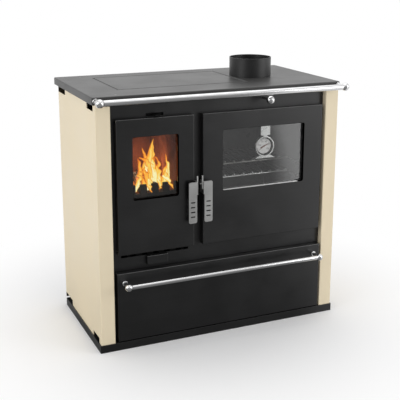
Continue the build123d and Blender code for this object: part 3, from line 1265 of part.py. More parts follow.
def latch_handle(door_edge, side):
    """Bent plate handle: slotted grip in front of the door, pivot flange and horn in the gap."""
    flange_near = door_edge + side * LATCH_FLANGE_GAP
    flange_far = flange_near + side * LATCH_SHEET
    flange_x = sorted((flange_near, flange_far))
    grip_x = sorted((flange_near, flange_near - side * LATCH_PLATE_WIDTH))
    grip_x_centre = sum(grip_x) / 2
    horn_x = flange_far + side * LATCH_HORN_RADIUS / 2
    horn_y = latch_front + LATCH_SHEET + 2 * LATCH_HORN_RADIUS
    flange_back = LATCH_PIVOT_Y + LATCH_FLANGE_REACH
    bore = LATCH_BOLT_RADIUS + LATCH_BOLT_GAP
    with BuildPart() as handle:
        rounded_block(grip_x, (latch_front, latch_front + LATCH_SHEET), latch_z, LATCH_CORNER)
        slab(
            sorted((flange_near - side * LATCH_CORNER, flange_far)),
            (latch_front, latch_front + LATCH_SHEET),
            (LATCH_TOP - LATCH_FLANGE_HEIGHT, LATCH_TOP),
        )
        with BuildSketch(Plane.YZ.offset(flange_x[0])) as flange:
            with Locations(((latch_front + flange_back) / 2, LATCH_TOP - LATCH_FLANGE_HEIGHT / 2)):
                Rectangle(flange_back - latch_front, LATCH_FLANGE_HEIGHT)
            fillet(flange.vertices().group_by(Axis.X)[-1], radius=LATCH_FLANGE_REACH)
        extrude(flange.sketch, amount=LATCH_SHEET)
        horn_foot = (horn_x, horn_y, LATCH_HORN_TOP - LATCH_HORN_LENGTH)
        rod(horn_foot, UPWARDS, LATCH_HORN_RADIUS, LATCH_HORN_LENGTH)
        fillet(handle.faces().sort_by(Axis.Z)[-1].edges(), radius=LATCH_HORN_RADIUS / 2)
        rod((flange_x[0], LATCH_PIVOT_Y, LATCH_PIVOT_Z), RIGHTWARDS, bore, LATCH_SHEET, Mode.SUBTRACT)
        with BuildSketch(Plane.XZ.offset(-latch_front - LATCH_SHEET)) as slots:
            slot_run = (LATCH_SLOT_COUNT - 1) * LATCH_SLOT_PITCH
            with Locations((grip_x_centre, LATCH_TOP - LATCH_SLOT_START - slot_run / 2)):
                with GridLocations(0, LATCH_SLOT_PITCH, 1, LATCH_SLOT_COUNT):
                    SlotOverall(LATCH_SLOT_LENGTH, LATCH_SLOT_WIDTH)
        extrude(slots.sketch, amount=LATCH_SHEET, mode=Mode.SUBTRACT)
    return handle


def latch_bolt(door_edge, side):
    """Pivot bolt with its spacer, from the pan's side fold through the handle's flange."""
    direction = (side, 0, 0)
    flange_outer = door_edge + side * (LATCH_FLANGE_GAP + LATCH_SHEET + SEAT_GAP / 3)
    start = door_edge - side * (DOOR_SHEET + LATCH_BOLT_HEAD_LENGTH)
    with BuildPart() as bolt:
        rod((start, LATCH_PIVOT_Y, LATCH_PIVOT_Z), direction, LATCH_BOLT_RADIUS, abs(flange_outer - start))
        rod(
            (flange_outer, LATCH_PIVOT_Y, LATCH_PIVOT_Z),
            direction,
            LATCH_BOLT_HEAD,
            LATCH_BOLT_HEAD_LENGTH,
        )
        rod(
            (door_edge, LATCH_PIVOT_Y, LATCH_PIVOT_Z),
            direction,
            LATCH_BOLT_HEAD,
            LATCH_FLANGE_GAP - SEAT_GAP / 3,
        )
        rod((start, LATCH_PIVOT_Y, LATCH_PIVOT_Z), direction, LATCH_NUT_RADIUS, LATCH_BOLT_HEAD_LENGTH)
    return bolt


fire_latch_handle = latch_handle(FIRE_DOOR_RIGHT, 1)
fire_latch_handle.part.label = "fire_latch_handle"
export_step(fire_latch_handle.part, "parts/fire_latch_handle.step")

fire_latch_bolt = latch_bolt(FIRE_DOOR_RIGHT, 1)
fire_latch_bolt.part.label = "fire_latch_bolt"
export_step(fire_latch_bolt.part, "parts/fire_latch_bolt.step")

oven_latch_handle = latch_handle(OVEN_DOOR_LEFT, -1)
oven_latch_handle.part.label = "oven_latch_handle"
export_step(oven_latch_handle.part, "parts/oven_latch_handle.step")

oven_latch_bolt = latch_bolt(OVEN_DOOR_LEFT, -1)
oven_latch_bolt.part.label = "oven_latch_bolt"
export_step(oven_latch_bolt.part, "parts/oven_latch_bolt.step")

with BuildPart() as door_keeper:
    slab(
        (GAP_CENTRE - KEEPER_WIDTH / 2, GAP_CENTRE + KEEPER_WIDTH / 2),
        (FRAME_FRONT - KEEPER_DEPTH, FRAME_FRONT),
        (KEEPER_BOTTOM, KEEPER_BOTTOM + KEEPER_HEIGHT),
    )
    fillet(door_keeper.faces().sort_by(Axis.Y)[0].edges(), radius=DOOR_EDGE_RADIUS)
door_keeper.part.label = "door_keeper"
export_step(door_keeper.part, "parts/door_keeper.step")

# ---------------------------------------------------------------- oven thermometer

# It hangs from the oven door's inner frame, behind the glass, by a flat tab.
case_front = INNER_FRAME_BACK + THERMOMETER_TAB_SHEET
case_back = case_front + THERMOMETER_DEPTH
dial_back = case_back - THERMOMETER_BACK
dial_front = dial_back - THERMOMETER_DIAL_THICKNESS
with BuildPart() as thermometer_case:
    rod(
        (THERMOMETER_X, case_front, THERMOMETER_Z),
        BACKWARDS,
        THERMOMETER_RADIUS,
        THERMOMETER_DEPTH,
    )
    fillet(thermometer_case.faces().sort_by(Axis.Y)[0].edges(), radius=THERMOMETER_RIM / 3)
    with BuildSketch(Plane.XZ.offset(-case_back)):
        foot_low = THERMOMETER_Z - THERMOMETER_RADIUS - THERMOMETER_FOOT_HEIGHT / 2
        foot_high = foot_low + THERMOMETER_FOOT_HEIGHT
        Polygon(
            (THERMOMETER_X - THERMOMETER_FOOT_WIDTH / 2, foot_low),
            (THERMOMETER_X + THERMOMETER_FOOT_WIDTH / 2, foot_low),
            (THERMOMETER_X + THERMOMETER_FOOT_TOP_WIDTH / 2, foot_high),
            (THERMOMETER_X - THERMOMETER_FOOT_TOP_WIDTH / 2, foot_high),
            align=None,
        )
    extrude(amount=THERMOMETER_DEPTH)
    rod(
        (THERMOMETER_X, case_front, THERMOMETER_Z),
        BACKWARDS,
        THERMOMETER_RADIUS - THERMOMETER_RIM,
        THERMOMETER_DEPTH - THERMOMETER_BACK,
        Mode.SUBTRACT,
    )
    case_top = THERMOMETER_Z + THERMOMETER_RADIUS
    neck_top = case_top + THERMOMETER_NECK_HEIGHT
    tab_top = INNER_FRAME_TOP - GASKET_INSET - GASKET_WIDTH - THERMOMETER_TAB_SHEET
    for width, low, high in (
        (THERMOMETER_NECK_WIDTH, case_top - THERMOMETER_RIM, neck_top),
        (THERMOMETER_TAB_WIDTH, neck_top, tab_top),
    ):
        tab_x = (THERMOMETER_X - width / 2, THERMOMETER_X + width / 2)
        slab(tab_x, (INNER_FRAME_BACK, case_front), (low, high))
thermometer_case.part.label = "thermometer_case"
export_step(thermometer_case.part, "parts/thermometer_case.step")

with BuildPart() as thermometer_dial:
    dial_start = (THERMOMETER_X, dial_front, THERMOMETER_Z)
    rod(dial_start, BACKWARDS, THERMOMETER_DIAL_RADIUS, THERMOMETER_DIAL_THICKNESS)
    rod(
        dial_start,
        BACKWARDS,
        NEEDLE_PIN_RADIUS + NEEDLE_PIN_GAP,
        THERMOMETER_DIAL_THICKNESS,
        Mode.SUBTRACT,
    )
thermometer_dial.part.label = "thermometer_dial"
export_step(thermometer_dial.part, "parts/thermometer_dial.step")

with BuildPart() as thermometer_needle:
    needle_back = dial_front - SEAT_GAP
    with BuildSketch(Plane.XZ.offset(-needle_back)):
        with Locations((THERMOMETER_X, THERMOMETER_Z)):
            Circle(NEEDLE_HUB_RADIUS)
        with Locations(Location((THERMOMETER_X, THERMOMETER_Z, 0), (0, 0, -NEEDLE_ANGLE))):
            Polygon(
                (-NEEDLE_HUB_RADIUS / 2, 0),
                (-NEEDLE_HUB_RADIUS, -NEEDLE_TAIL),
                (NEEDLE_HUB_RADIUS, -NEEDLE_TAIL),
                (NEEDLE_HUB_RADIUS / 2, 0),
                (NEEDLE_HUB_RADIUS / 6, NEEDLE_LENGTH),
                (-NEEDLE_HUB_RADIUS / 6, NEEDLE_LENGTH),
                align=None,
            )
    extrude(amount=NEEDLE_THICKNESS)
    rod(
        (THERMOMETER_X, needle_back, THERMOMETER_Z),
        BACKWARDS,
        NEEDLE_PIN_RADIUS,
        SEAT_GAP + THERMOMETER_DIAL_THICKNESS - SEAT_GAP / 3,
    )
thermometer_needle.part.label = "thermometer_needle"
export_step(thermometer_needle.part, "parts/thermometer_needle.step")

# ---------------------------------------------------------------- air controls

plate_y = (FRAME_BACK + SEAT_GAP, FRAME_BACK + SEAT_GAP + AIR_PLATE_SHEET)
with BuildPart() as primary_air_knob:
    slab(
        (AIR_KNOB_LEFT, AIR_KNOB_LEFT + AIR_KNOB_WIDTH),
        (FRAME_FRONT - SEAT_GAP - AIR_KNOB_DEPTH, FRAME_FRONT - SEAT_GAP),
        (AIR_KNOB_BOTTOM, AIR_KNOB_BOTTOM + AIR_KNOB_HEIGHT),
    )
    fillet(primary_air_knob.faces().sort_by(Axis.Y)[0].edges(), radius=AIR_KNOB_RADIUS)
    rod(
        (knob_stem_x, FRAME_FRONT - SEAT_GAP, knob_stem_z),
        BACKWARDS,
        AIR_STEM_RADIUS,
        plate_y[0] - FRAME_FRONT + SEAT_GAP,
    )
primary_air_knob.part.label = "primary_air_knob"
export_step(primary_air_knob.part, "parts/primary_air_knob.step")

with BuildPart() as primary_air_plate:
    slab(
        (knob_stem_x - AIR_PLATE_WIDTH / 2, knob_stem_x + AIR_PLATE_WIDTH / 2),
        plate_y,
        (AIR_PLATE_BOTTOM, AIR_PLATE_BOTTOM + AIR_PLATE_HEIGHT),
    )
    with BuildSketch(Plane.XZ.offset(-plate_y[1])) as shutter:
        with Locations((knob_stem_x, AIR_SLOT_BOTTOM + AIR_SLOT_HEIGHT / 2)):
            with GridLocations(2 * AIR_TRAVEL, 0, int(AIR_PLATE_WIDTH / AIR_TRAVEL / 2), 1):
                SlotOverall(AIR_TRAVEL, AIR_SLOT_HEIGHT)
    extrude(shutter.sketch, amount=AIR_PLATE_SHEET, mode=Mode.SUBTRACT)
primary_air_plate.part.label = "primary_air_plate"
export_step(primary_air_plate.part, "parts/primary_air_plate.step")

tab_x = (TAB_CENTRE_X - TAB_WIDTH / 2, TAB_CENTRE_X + TAB_WIDTH / 2)
tab_plate_z = (TAB_Z - TAB_PLATE_HEIGHT / 2, TAB_Z + TAB_PLATE_HEIGHT / 2)
with BuildPart() as secondary_air_slide:
    slab(tab_x, (FRAME_FRONT - TAB_REACH, plate_y[0]), (TAB_Z - TAB_SHEET / 2, TAB_Z + TAB_SHEET / 2))
    lip_low = TAB_Z + TAB_SHEET / 2 - TAB_LIP / 2
    lip_y = (FRAME_FRONT - TAB_REACH, FRAME_FRONT - TAB_REACH + TAB_SHEET)
    slab(tab_x, lip_y, (lip_low, lip_low + TAB_LIP))
    slab(
        (TAB_CENTRE_X - TAB_PLATE_WIDTH / 2, TAB_CENTRE_X + TAB_PLATE_WIDTH / 2),
        plate_y,
        tab_plate_z,
    )
secondary_air_slide.part.label = "secondary_air_slide"
export_step(secondary_air_slide.part, "parts/secondary_air_slide.step")


def slide_guides(plate_x, travel, z):
    """Upper and lower guide strips with lips that hold a slide plate against the frame."""
    guide_x = widened(plate_x, travel)
    lip_y = (plate_y[1] + SEAT_GAP, plate_y[1] + SEAT_GAP + AIR_GUIDE_SHEET)
    with BuildPart() as guides:
        slab(guide_x, (FRAME_BACK, lip_y[1]), (z[1] + SEAT_GAP, z[1] + SEAT_GAP + AIR_GUIDE_SHEET))
        slab(guide_x, lip_y, (z[1] + SEAT_GAP - AIR_GUIDE_LIP, z[1] + SEAT_GAP))
        slab(guide_x, (FRAME_BACK, lip_y[1]), (z[0] - SEAT_GAP - AIR_GUIDE_SHEET, z[0] - SEAT_GAP))
        slab(guide_x, lip_y, (z[0] - SEAT_GAP, z[0] - SEAT_GAP + AIR_GUIDE_LIP))
    return guides


primary_guides = slide_guides(
    (knob_stem_x - AIR_PLATE_WIDTH / 2, knob_stem_x + AIR_PLATE_WIDTH / 2),
    AIR_TRAVEL,
    (AIR_PLATE_BOTTOM, AIR_PLATE_BOTTOM + AIR_PLATE_HEIGHT),
)
secondary_guides = slide_guides(
    (TAB_CENTRE_X - TAB_PLATE_WIDTH / 2, TAB_CENTRE_X + TAB_PLATE_WIDTH / 2), TAB_TRAVEL, tab_plate_z
)
air_slide_guides = Compound(
    label="air_slide_guides", children=[*primary_guides.part.solids(), *secondary_guides.part.solids()]
)
export_step(air_slide_guides, "parts/air_slide_guides.step")

# ---------------------------------------------------------------- wood drawer

drawer_x = (-DRAWER_OUTER, DRAWER_OUTER)
drawer_z = (DRAWER_BOTTOM, DRAWER_TOP)
with BuildPart() as drawer_front:
    slab(drawer_x, (DRAWER_FRONT, DRAWER_PAN_BACK), drawer_z)
    fillet(drawer_front.faces().sort_by(Axis.Y)[0].edges(), radius=DRAWER_EDGE_RADIUS)
    slab(
        widened(drawer_x, -DRAWER_SHEET),
        (DRAWER_FRONT + DRAWER_SHEET, DRAWER_PAN_BACK),
        widened(drawer_z, -DRAWER_SHEET),
        Mode.SUBTRACT,
    )
drawer_front.part.label = "drawer_front"
export_step(drawer_front.part, "parts/drawer_front.step")

# Bin with a backing sheet that closes the front pan, and a slide bar on each side.
with BuildPart() as drawer_box:
    bin_x = (-BIN_OUTER, BIN_OUTER)
    bin_z = (BIN_BOTTOM, BIN_BOTTOM + BIN_HEIGHT)
    slab(
        widened(drawer_x, -DRAWER_SHEET - SEAT_GAP),
        (DRAWER_PAN_BACK - DRAWER_SHEET, DRAWER_PAN_BACK),
        widened(drawer_z, -DRAWER_SHEET - SEAT_GAP),
    )
    slab(bin_x, (DRAWER_PAN_BACK, BIN_BACK), bin_z)
    slab(
        widened(bin_x, -DRAWER_SHEET),
        (DRAWER_PAN_BACK + DRAWER_SHEET, BIN_BACK - DRAWER_SHEET),
        (bin_z[0] + DRAWER_SHEET, bin_z[1]),
        Mode.SUBTRACT,
    )
    bar_y = (FRAME_BACK + RUNNER_END_GAP, BIN_BACK)
    bar_z = (SLIDE_BAR_BOTTOM, SLIDE_BAR_BOTTOM + SLIDE_BAR_HEIGHT)
    slab((-BIN_OUTER - SLIDE_BAR_WIDTH, -BIN_OUTER), bar_y, bar_z)
    slab((BIN_OUTER, BIN_OUTER + SLIDE_BAR_WIDTH), bar_y, bar_z)
drawer_box.part.label = "drawer_box"
export_step(drawer_box.part, "parts/drawer_box.step")

with BuildPart() as drawer_runners:
    channel_y = (FRAME_BACK + RUNNER_END_GAP, BACK_PLATE_FRONT)
    channel_z = widened(bar_z, SLIDE_GAP)
    for side in (-1, 1):
        web = sorted((side * RUNNER_INNER, side * (RUNNER_INNER + RUNNER_SHEET)))
        lips = sorted((side * (BIN_OUTER + RUNNER_SHEET), side * (RUNNER_INNER + RUNNER_SHEET)))
        slab(lips, channel_y, widened(channel_z, RUNNER_SHEET))
        slab(
            sorted((side * BIN_OUTER, side * RUNNER_INNER)),
            channel_y,
            channel_z,
            Mode.SUBTRACT,
        )
        spacer = sorted((side * (RUNNER_INNER + RUNNER_SHEET), side * CARCASS_INNER))
        for start in (channel_y[0], channel_y[1] - RUNNER_BRACKET_LENGTH):
            slab(spacer, (start, start + RUNNER_BRACKET_LENGTH), channel_z)
            slab(
                spacer,
                (start + RUNNER_SHEET, start + RUNNER_BRACKET_LENGTH - RUNNER_SHEET),
                (channel_z[0] + RUNNER_SHEET, channel_z[1]),
                Mode.SUBTRACT,
            )
drawer_runners.part.label = "drawer_runners"
export_step(drawer_runners.part, "parts/drawer_runners.step")

drawer_rail = rail_bar(
    DRAWER_RAIL_Y, DRAWER_RAIL_Z, DRAWER_RAIL_RADIUS, DRAWER_RAIL_HALF_SPAN, DRAWER_BALL_RADIUS
)
drawer_rail.part.label = "drawer_rail"
export_step(drawer_rail.part, "parts/drawer_rail.step")

drawer_rail_brackets = rail_brackets(
    DRAWER_RAIL_Y, DRAWER_RAIL_Z, DRAWER_RAIL_HALF_SPAN, DRAWER_BALL_RADIUS, DRAWER_FRONT
)
drawer_rail_brackets.part.label = "drawer_rail_brackets"
export_step(drawer_rail_brackets.part, "parts/drawer_rail_brackets.step")
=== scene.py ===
"""Looks of a wood cookstove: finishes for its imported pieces, and the finer pieces modelled here.

Metres. +Z is up and -Y is the front. The origin is the centre of the base's underside.
"""

import json
import logging
import math
import random
from dataclasses import dataclass
from enum import Enum
from typing import Callable, Sequence

import bmesh
import bpy
from mathutils import Matrix, Vector, noise

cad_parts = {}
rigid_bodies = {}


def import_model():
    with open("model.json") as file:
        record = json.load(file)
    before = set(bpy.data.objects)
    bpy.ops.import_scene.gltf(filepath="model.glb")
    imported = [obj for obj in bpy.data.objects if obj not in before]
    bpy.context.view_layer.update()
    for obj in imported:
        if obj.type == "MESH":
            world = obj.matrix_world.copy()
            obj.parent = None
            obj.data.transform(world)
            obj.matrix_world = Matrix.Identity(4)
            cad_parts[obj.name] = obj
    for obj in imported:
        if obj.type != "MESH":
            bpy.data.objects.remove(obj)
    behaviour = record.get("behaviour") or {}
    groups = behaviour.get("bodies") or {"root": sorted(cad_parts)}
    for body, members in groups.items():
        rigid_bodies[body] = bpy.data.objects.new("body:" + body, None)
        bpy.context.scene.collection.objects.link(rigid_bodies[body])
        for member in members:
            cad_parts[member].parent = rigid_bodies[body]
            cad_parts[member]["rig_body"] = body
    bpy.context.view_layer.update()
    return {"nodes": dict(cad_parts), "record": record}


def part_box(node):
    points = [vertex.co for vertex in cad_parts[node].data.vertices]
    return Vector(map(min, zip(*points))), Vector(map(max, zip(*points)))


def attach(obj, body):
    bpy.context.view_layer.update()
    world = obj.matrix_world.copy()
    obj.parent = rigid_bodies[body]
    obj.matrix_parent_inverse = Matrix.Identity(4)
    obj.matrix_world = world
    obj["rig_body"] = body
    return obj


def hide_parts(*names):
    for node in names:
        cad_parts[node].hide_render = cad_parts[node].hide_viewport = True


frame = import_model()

log = logging.getLogger("cookstove")

Colour = tuple[float, float, float]
Point = tuple[float, float, float]

# Points closer than this become one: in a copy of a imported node, and in a mesh made here.
PACKED_WELD = 0.00002
OWN_WELD = 0.000001

# UV maps that hold a value for the finish: how strongly a rounded edge shows a painted highlight, and how
# hot a flame is.
EDGE_HIGHLIGHT_MARK = "edge"
HEAT_MARK = "heat"

# Values that a noise mostly lies between, and a narrower range round its middle.
NOISE_SPAN = (0.3, 0.7)
NOISE_MIDDLE = (0.35, 0.65)


class Axis(Enum):
    """The three directions of the stove's frame."""

    X = (1.0, 0.0, 0.0)
    Y = (0.0, 1.0, 0.0)
    Z = (0.0, 0.0, 1.0)

    @property
    def vector(self) -> Vector:
        """The direction as a vector."""
        return Vector(self.value)


# ---------------------------------------------------------------- shader node helpers


class Wiring:
    """Short calls that add nodes to one tree and join their sockets."""

    def __init__(self, tree: bpy.types.NodeTree) -> None:
        """Keeps the tree.

        Args:
            tree: The material's or the group's node tree.
        """
        self.tree = tree

    def add(self, kind: str, **settings: object) -> bpy.types.Node:
        """Adds one node.

        Args:
            kind: The node's type, without the word ShaderNode.
            **settings: Properties of the node, or values of its inputs by name.

        Returns:
            The new node.
        """
        node = self.tree.nodes.new("ShaderNode" + kind)
        for key, value in settings.items():
            if hasattr(node, key):
                setattr(node, key, value)
            else:
                node.inputs[key.replace("_", " ")].default_value = value
        return node

    def join(self, source: bpy.types.NodeSocket, target: bpy.types.NodeSocket) -> None:
        """Links an output to an input."""
        self.tree.links.new(source, target)

    def math(
        self, operation: str, first: object, second: object = 0.5, clamp: bool = False
    ) -> bpy.types.NodeSocket:
        """Adds a Math node.

        Args:
            operation: Name of the operation, such as MULTIPLY.
            first: Socket or number.
            second: Socket or number.
            clamp: True to keep the result between 0 and 1.

        Returns:
            The result's socket.
        """
        node = self.add("Math", operation=operation, use_clamp=clamp)
        for index, value in enumerate((first, second)):
            if isinstance(value, bpy.types.NodeSocket):
                self.join(value, node.inputs[index])
            else:
                node.inputs[index].default_value = value
        return node.outputs[0]

    def ranged(
        self, value: bpy.types.NodeSocket, low: float, high: float, out_low: float = 0.0,
        out_high: float = 1.0,
    ) -> bpy.types.NodeSocket:
        """Maps a value smoothly from one range to another.

        Args:
            value: The socket to map.
            low: Where the first range starts.
            high: Where it ends.
            out_low: The result at its start.
            out_high: The result at its end.

        Returns:
            The result's socket.
        """
        node = self.add("MapRange", interpolation_type="SMOOTHSTEP")
        self.join(value, node.inputs["Value"])
        ends = {"From Min": low, "From Max": high, "To Min": out_low, "To Max": out_high}
        for name, number in ends.items():
            node.inputs[name].default_value = number
        return node.outputs["Result"]

    def blend(self, factor: bpy.types.NodeSocket, first: object, second: object) -> bpy.types.NodeSocket:
        """Mixes two colours by a mask.

        Args:
            factor: The mask's socket.
            first: Colour, or a colour's socket, where the mask is 0.
            second: Colour, or a colour's socket, where the mask is 1.

        Returns:
            The mixed colour's socket.
        """
        node = self.add("Mix", data_type="RGBA")
        self.join(factor, node.inputs["Factor"])
        for name, value in (("A", first), ("B", second)):
            socket = next(s for s in node.inputs if s.name == name and s.type == "RGBA")
            if isinstance(value, bpy.types.NodeSocket):
                self.join(value, socket)
            else:
                socket.default_value = (*value, 1.0)
        return next(s for s in node.outputs if s.type == "RGBA")

    def object_place(self) -> bpy.types.NodeSocket:
        """Gives the piece's own coordinates."""
        return self.add("TexCoord").outputs["Object"]

    def part(self, vector: bpy.types.NodeSocket, axis: Axis) -> bpy.types.NodeSocket:
        """Gives one of the three parts of a vector.

        Args:
            vector: The vector's socket.
            axis: Which part.

        Returns:
            The part's socket.
        """
        split = self.add("SeparateXYZ")
        self.join(vector, split.inputs[0])
        return split.outputs[axis.name]

    def along(self, axis: Axis) -> bpy.types.NodeSocket:
        """Gives the place along one axis, in the piece's own coordinates."""
        return self.part(self.object_place(), axis)

    def facing(self, axis: Axis) -> bpy.types.NodeSocket:
        """Gives how far the surface faces along one axis, from -1 to 1."""
        return self.part(self.add("NewGeometry").outputs["Normal"], axis)

    def held(self, name: str) -> bpy.types.NodeSocket:
        """Gives the value that the mesh itself holds along the first axis of a UV map."""
        return self.part(self.add("UVMap", uv_map=name).outputs["UV"], Axis.X)

    def reflected(self) -> bpy.types.NodeSocket:
        """Gives 1 where a surface is seen in a reflection or through glass."""
        rays = self.add("LightPath").outputs
        return self.math("MAXIMUM", rays["Is Glossy Ray"], rays["Is Transmission Ray"])

    def looked_at(self) -> bpy.types.NodeSocket:
        """Gives 1 where the camera sees a surface straight."""
        return self.add("LightPath").outputs["Is Camera Ray"]

    def show_either(
        self, mask: bpy.types.NodeSocket, first: bpy.types.Node, second: bpy.types.Node
    ) -> None:
        """Makes the surface a mix of two shaders.

        Args:
            mask: The mask's socket.
            first: Shader where the mask is 0.
            second: Shader where the mask is 1.
        """
        either = self.add("MixShader")
        for index, socket in enumerate((mask, first.outputs[0], second.outputs[0])):
            self.join(socket, either.inputs[index])
        self.join(either.outputs[0], self.tree.nodes["Material Output"].inputs["Surface"])


def shaded(colour: Colour, factor: float) -> Colour:
    """A colour made lighter or darker by a factor."""
    return (colour[0] * factor, colour[1] * factor, colour[2] * factor)


# ---------------------------------------------------------------- shared surface effects


class Effect(Enum):
    """Surface effects that several finishes share, each one a node group."""

    SPRAY = "sprayed_coat"
    BRUSH = "brush_lines"
    CAST = "cast_skin"


def effect_group(effect: Effect) -> bpy.types.NodeTree:
    """Gives the node group of an effect, and builds it the first time.

    Args:
        effect: Which effect.

    Returns:
        Its node group.
    """
    made = bpy.data.node_groups.get(effect.value)
    if made is None:
        made = bpy.data.node_groups.new(effect.value, "ShaderNodeTree")
        EFFECT_BUILDERS[effect](made)
    return made


def open_group(
    tree: bpy.types.NodeTree, inputs: dict[str, float]
) -> tuple[Wiring, bpy.types.Node, bpy.types.Node]:
    """Gives a group its sockets: a vector and some numbers go in, and a height and a tone come out.

    Args:
        tree: The empty group.
        inputs: Names and first values of the number inputs.

    Returns:
        The wiring, the group's input node and its output node.
    """
    tree.interface.new_socket("Vector", in_out="INPUT", socket_type="NodeSocketVector")
    for name, value in inputs.items():
        socket = tree.interface.new_socket(name, in_out="INPUT", socket_type="NodeSocketFloat")
        socket.default_value = value
    for name in ("Height", "Tone"):
        tree.interface.new_socket(name, in_out="OUTPUT", socket_type="NodeSocketFloat")
    return Wiring(tree), tree.nodes.new("NodeGroupInput"), tree.nodes.new("NodeGroupOutput")


def build_spray(tree: bpy.types.NodeTree) -> None:
    """Fine orange peel of a sprayed coat, with slow patches of more and less gloss.

    Args:
        tree: The empty group.
    """
    w, entry, leave = open_group(tree, {"Scale": 900.0, "Patches": 6.0})
    peel = w.add("TexNoise", Detail=2.0, Roughness=0.55)
    w.join(entry.outputs["Vector"], peel.inputs["Vector"])
    w.join(entry.outputs["Scale"], peel.inputs["Scale"])
    patches = w.add("TexNoise", Detail=4.0, Roughness=0.6)
    w.join(entry.outputs["Vector"], patches.inputs["Vector"])
    w.join(entry.outputs["Patches"], patches.inputs["Scale"])
    w.join(peel.outputs["Fac"], leave.inputs["Height"])
    w.join(patches.outputs["Fac"], leave.inputs["Tone"])


def build_brush(tree: bpy.types.NodeTree) -> None:
    """Fine parallel lines along X, from brushing: the vector is stretched along that axis.

    Args:
        tree: The empty group.
    """
    w, entry, leave = open_group(tree, {"Scale": 1800.0, "Stretch": 0.02})
    stretch = w.add("CombineXYZ", Y=1.0, Z=1.0)
    w.join(entry.outputs["Stretch"], stretch.inputs["X"])
    along = w.add("VectorMath", operation="MULTIPLY")
    w.join(entry.outputs["Vector"], along.inputs[0])
    w.join(stretch.outputs[0], along.inputs[1])
    lines = w.add("TexNoise", Detail=3.0, Roughness=0.7)
    w.join(along.outputs[0], lines.inputs["Vector"])
    w.join(entry.outputs["Scale"], lines.inputs["Scale"])
    patches = w.add("TexNoise", Scale=14.0, Detail=3.0)
    w.join(entry.outputs["Vector"], patches.inputs["Vector"])
    w.join(lines.outputs["Fac"], leave.inputs["Height"])
    w.join(patches.outputs["Fac"], leave.inputs["Tone"])


def build_cast(tree: bpy.types.NodeTree) -> None:
    """Grainy skin of a sand casting, with shallow pits.

    Args:
        tree: The empty group.
    """
    w, entry, leave = open_group(tree, {"Scale": 420.0})
    pit_share = 0.6
    grain = w.add("TexNoise", Detail=6.0, Roughness=0.65)
    pits = w.add("TexVoronoi", feature="SMOOTH_F1")
    for node in (grain, pits):
        w.join(entry.outputs["Vector"], node.inputs["Vector"])
        w.join(entry.outputs["Scale"], node.inputs["Scale"])
    patches = w.add("TexNoise", Scale=22.0, Detail=5.0)
    w.join(entry.outputs["Vector"], patches.inputs["Vector"])
    pitted = w.math("MULTIPLY", pits.outputs["Distance"], pit_share)
    w.join(w.math("ADD", grain.outputs["Fac"], pitted), leave.inputs["Height"])
    w.join(patches.outputs["Fac"], leave.inputs["Tone"])


EFFECT_BUILDERS: dict[Effect, Callable[[bpy.types.NodeTree], None]] = {
    Effect.SPRAY: build_spray,
    Effect.BRUSH: build_brush,
    Effect.CAST: build_cast,
}


# ---------------------------------------------------------------- finishes


@dataclass(frozen=True)
class Finish:
    """What every finish has.

    Attributes:
        name: Start of its material's name.
        colour: Its base colour.
        roughness: Its roughness.
    """

    name: str
    colour: Colour
    roughness: float

    def material(self) -> bpy.types.Material:
        """Gives the finish's material, and builds it the first time.

        Returns:
            The material.
        """
        own_name = f"{self.name}_finish"
        made = bpy.data.materials.get(own_name)
        if made is None:
            made = bpy.data.materials.new(own_name)
            made.use_nodes = True
            shader = made.node_tree.nodes["Principled BSDF"]
            shader.inputs["Base Color"].default_value = (*self.colour, 1.0)
            shader.inputs["Roughness"].default_value = self.roughness
            self.dress(Wiring(made.node_tree), shader)
        return made

    def dress(self, w: Wiring, shader: bpy.types.Node) -> None:
        """Adds the finish's own nodes. A plain finish has none."""

    def effect(self, w: Wiring, effect: Effect, **values: float) -> bpy.types.Node:
        """Places a shared effect that reads object coordinates.

        Args:
            w: Wiring of the material's tree.
            effect: Which effect.
            **values: Values of the group's inputs.

        Returns:
            The group node.
        """
        node = w.tree.nodes.new("ShaderNodeGroup")
        node.node_tree = effect_group(effect)
        for key, value in values.items():
            node.inputs[key].default_value = value
        w.join(w.object_place(), node.inputs["Vector"])
        return node

    def bump(self, w: Wiring, shader: bpy.types.Node, height: bpy.types.NodeSocket, depth: float) -> None:
        """Turns a height into the shader's normal.

        Args:
            w: Wiring of the material's tree.
            shader: The Principled node.
            height: The height's socket.
            depth: How deep a height of 1 is, in metres.
        """
        node = w.add("Bump", Distance=depth)
        w.join(height, node.inputs["Height"])
        w.join(node.outputs["Normal"], shader.inputs["Normal"])

    def vary_gloss(
        self, w: Wiring, shader: bpy.types.Node, tone: bpy.types.NodeSocket, less: float, more: float
    ) -> None:
        """Lets the roughness follow a tone.

        Args:
            w: Wiring of the material's tree.
            shader: The Principled node.
            tone: The tone's socket.
            less: How far the roughness falls below the finish's own.
            more: How far it rises above it.
        """
        rough = w.ranged(tone, *NOISE_SPAN, self.roughness - less, self.roughness + more)
        w.join(rough, shader.inputs["Roughness"])


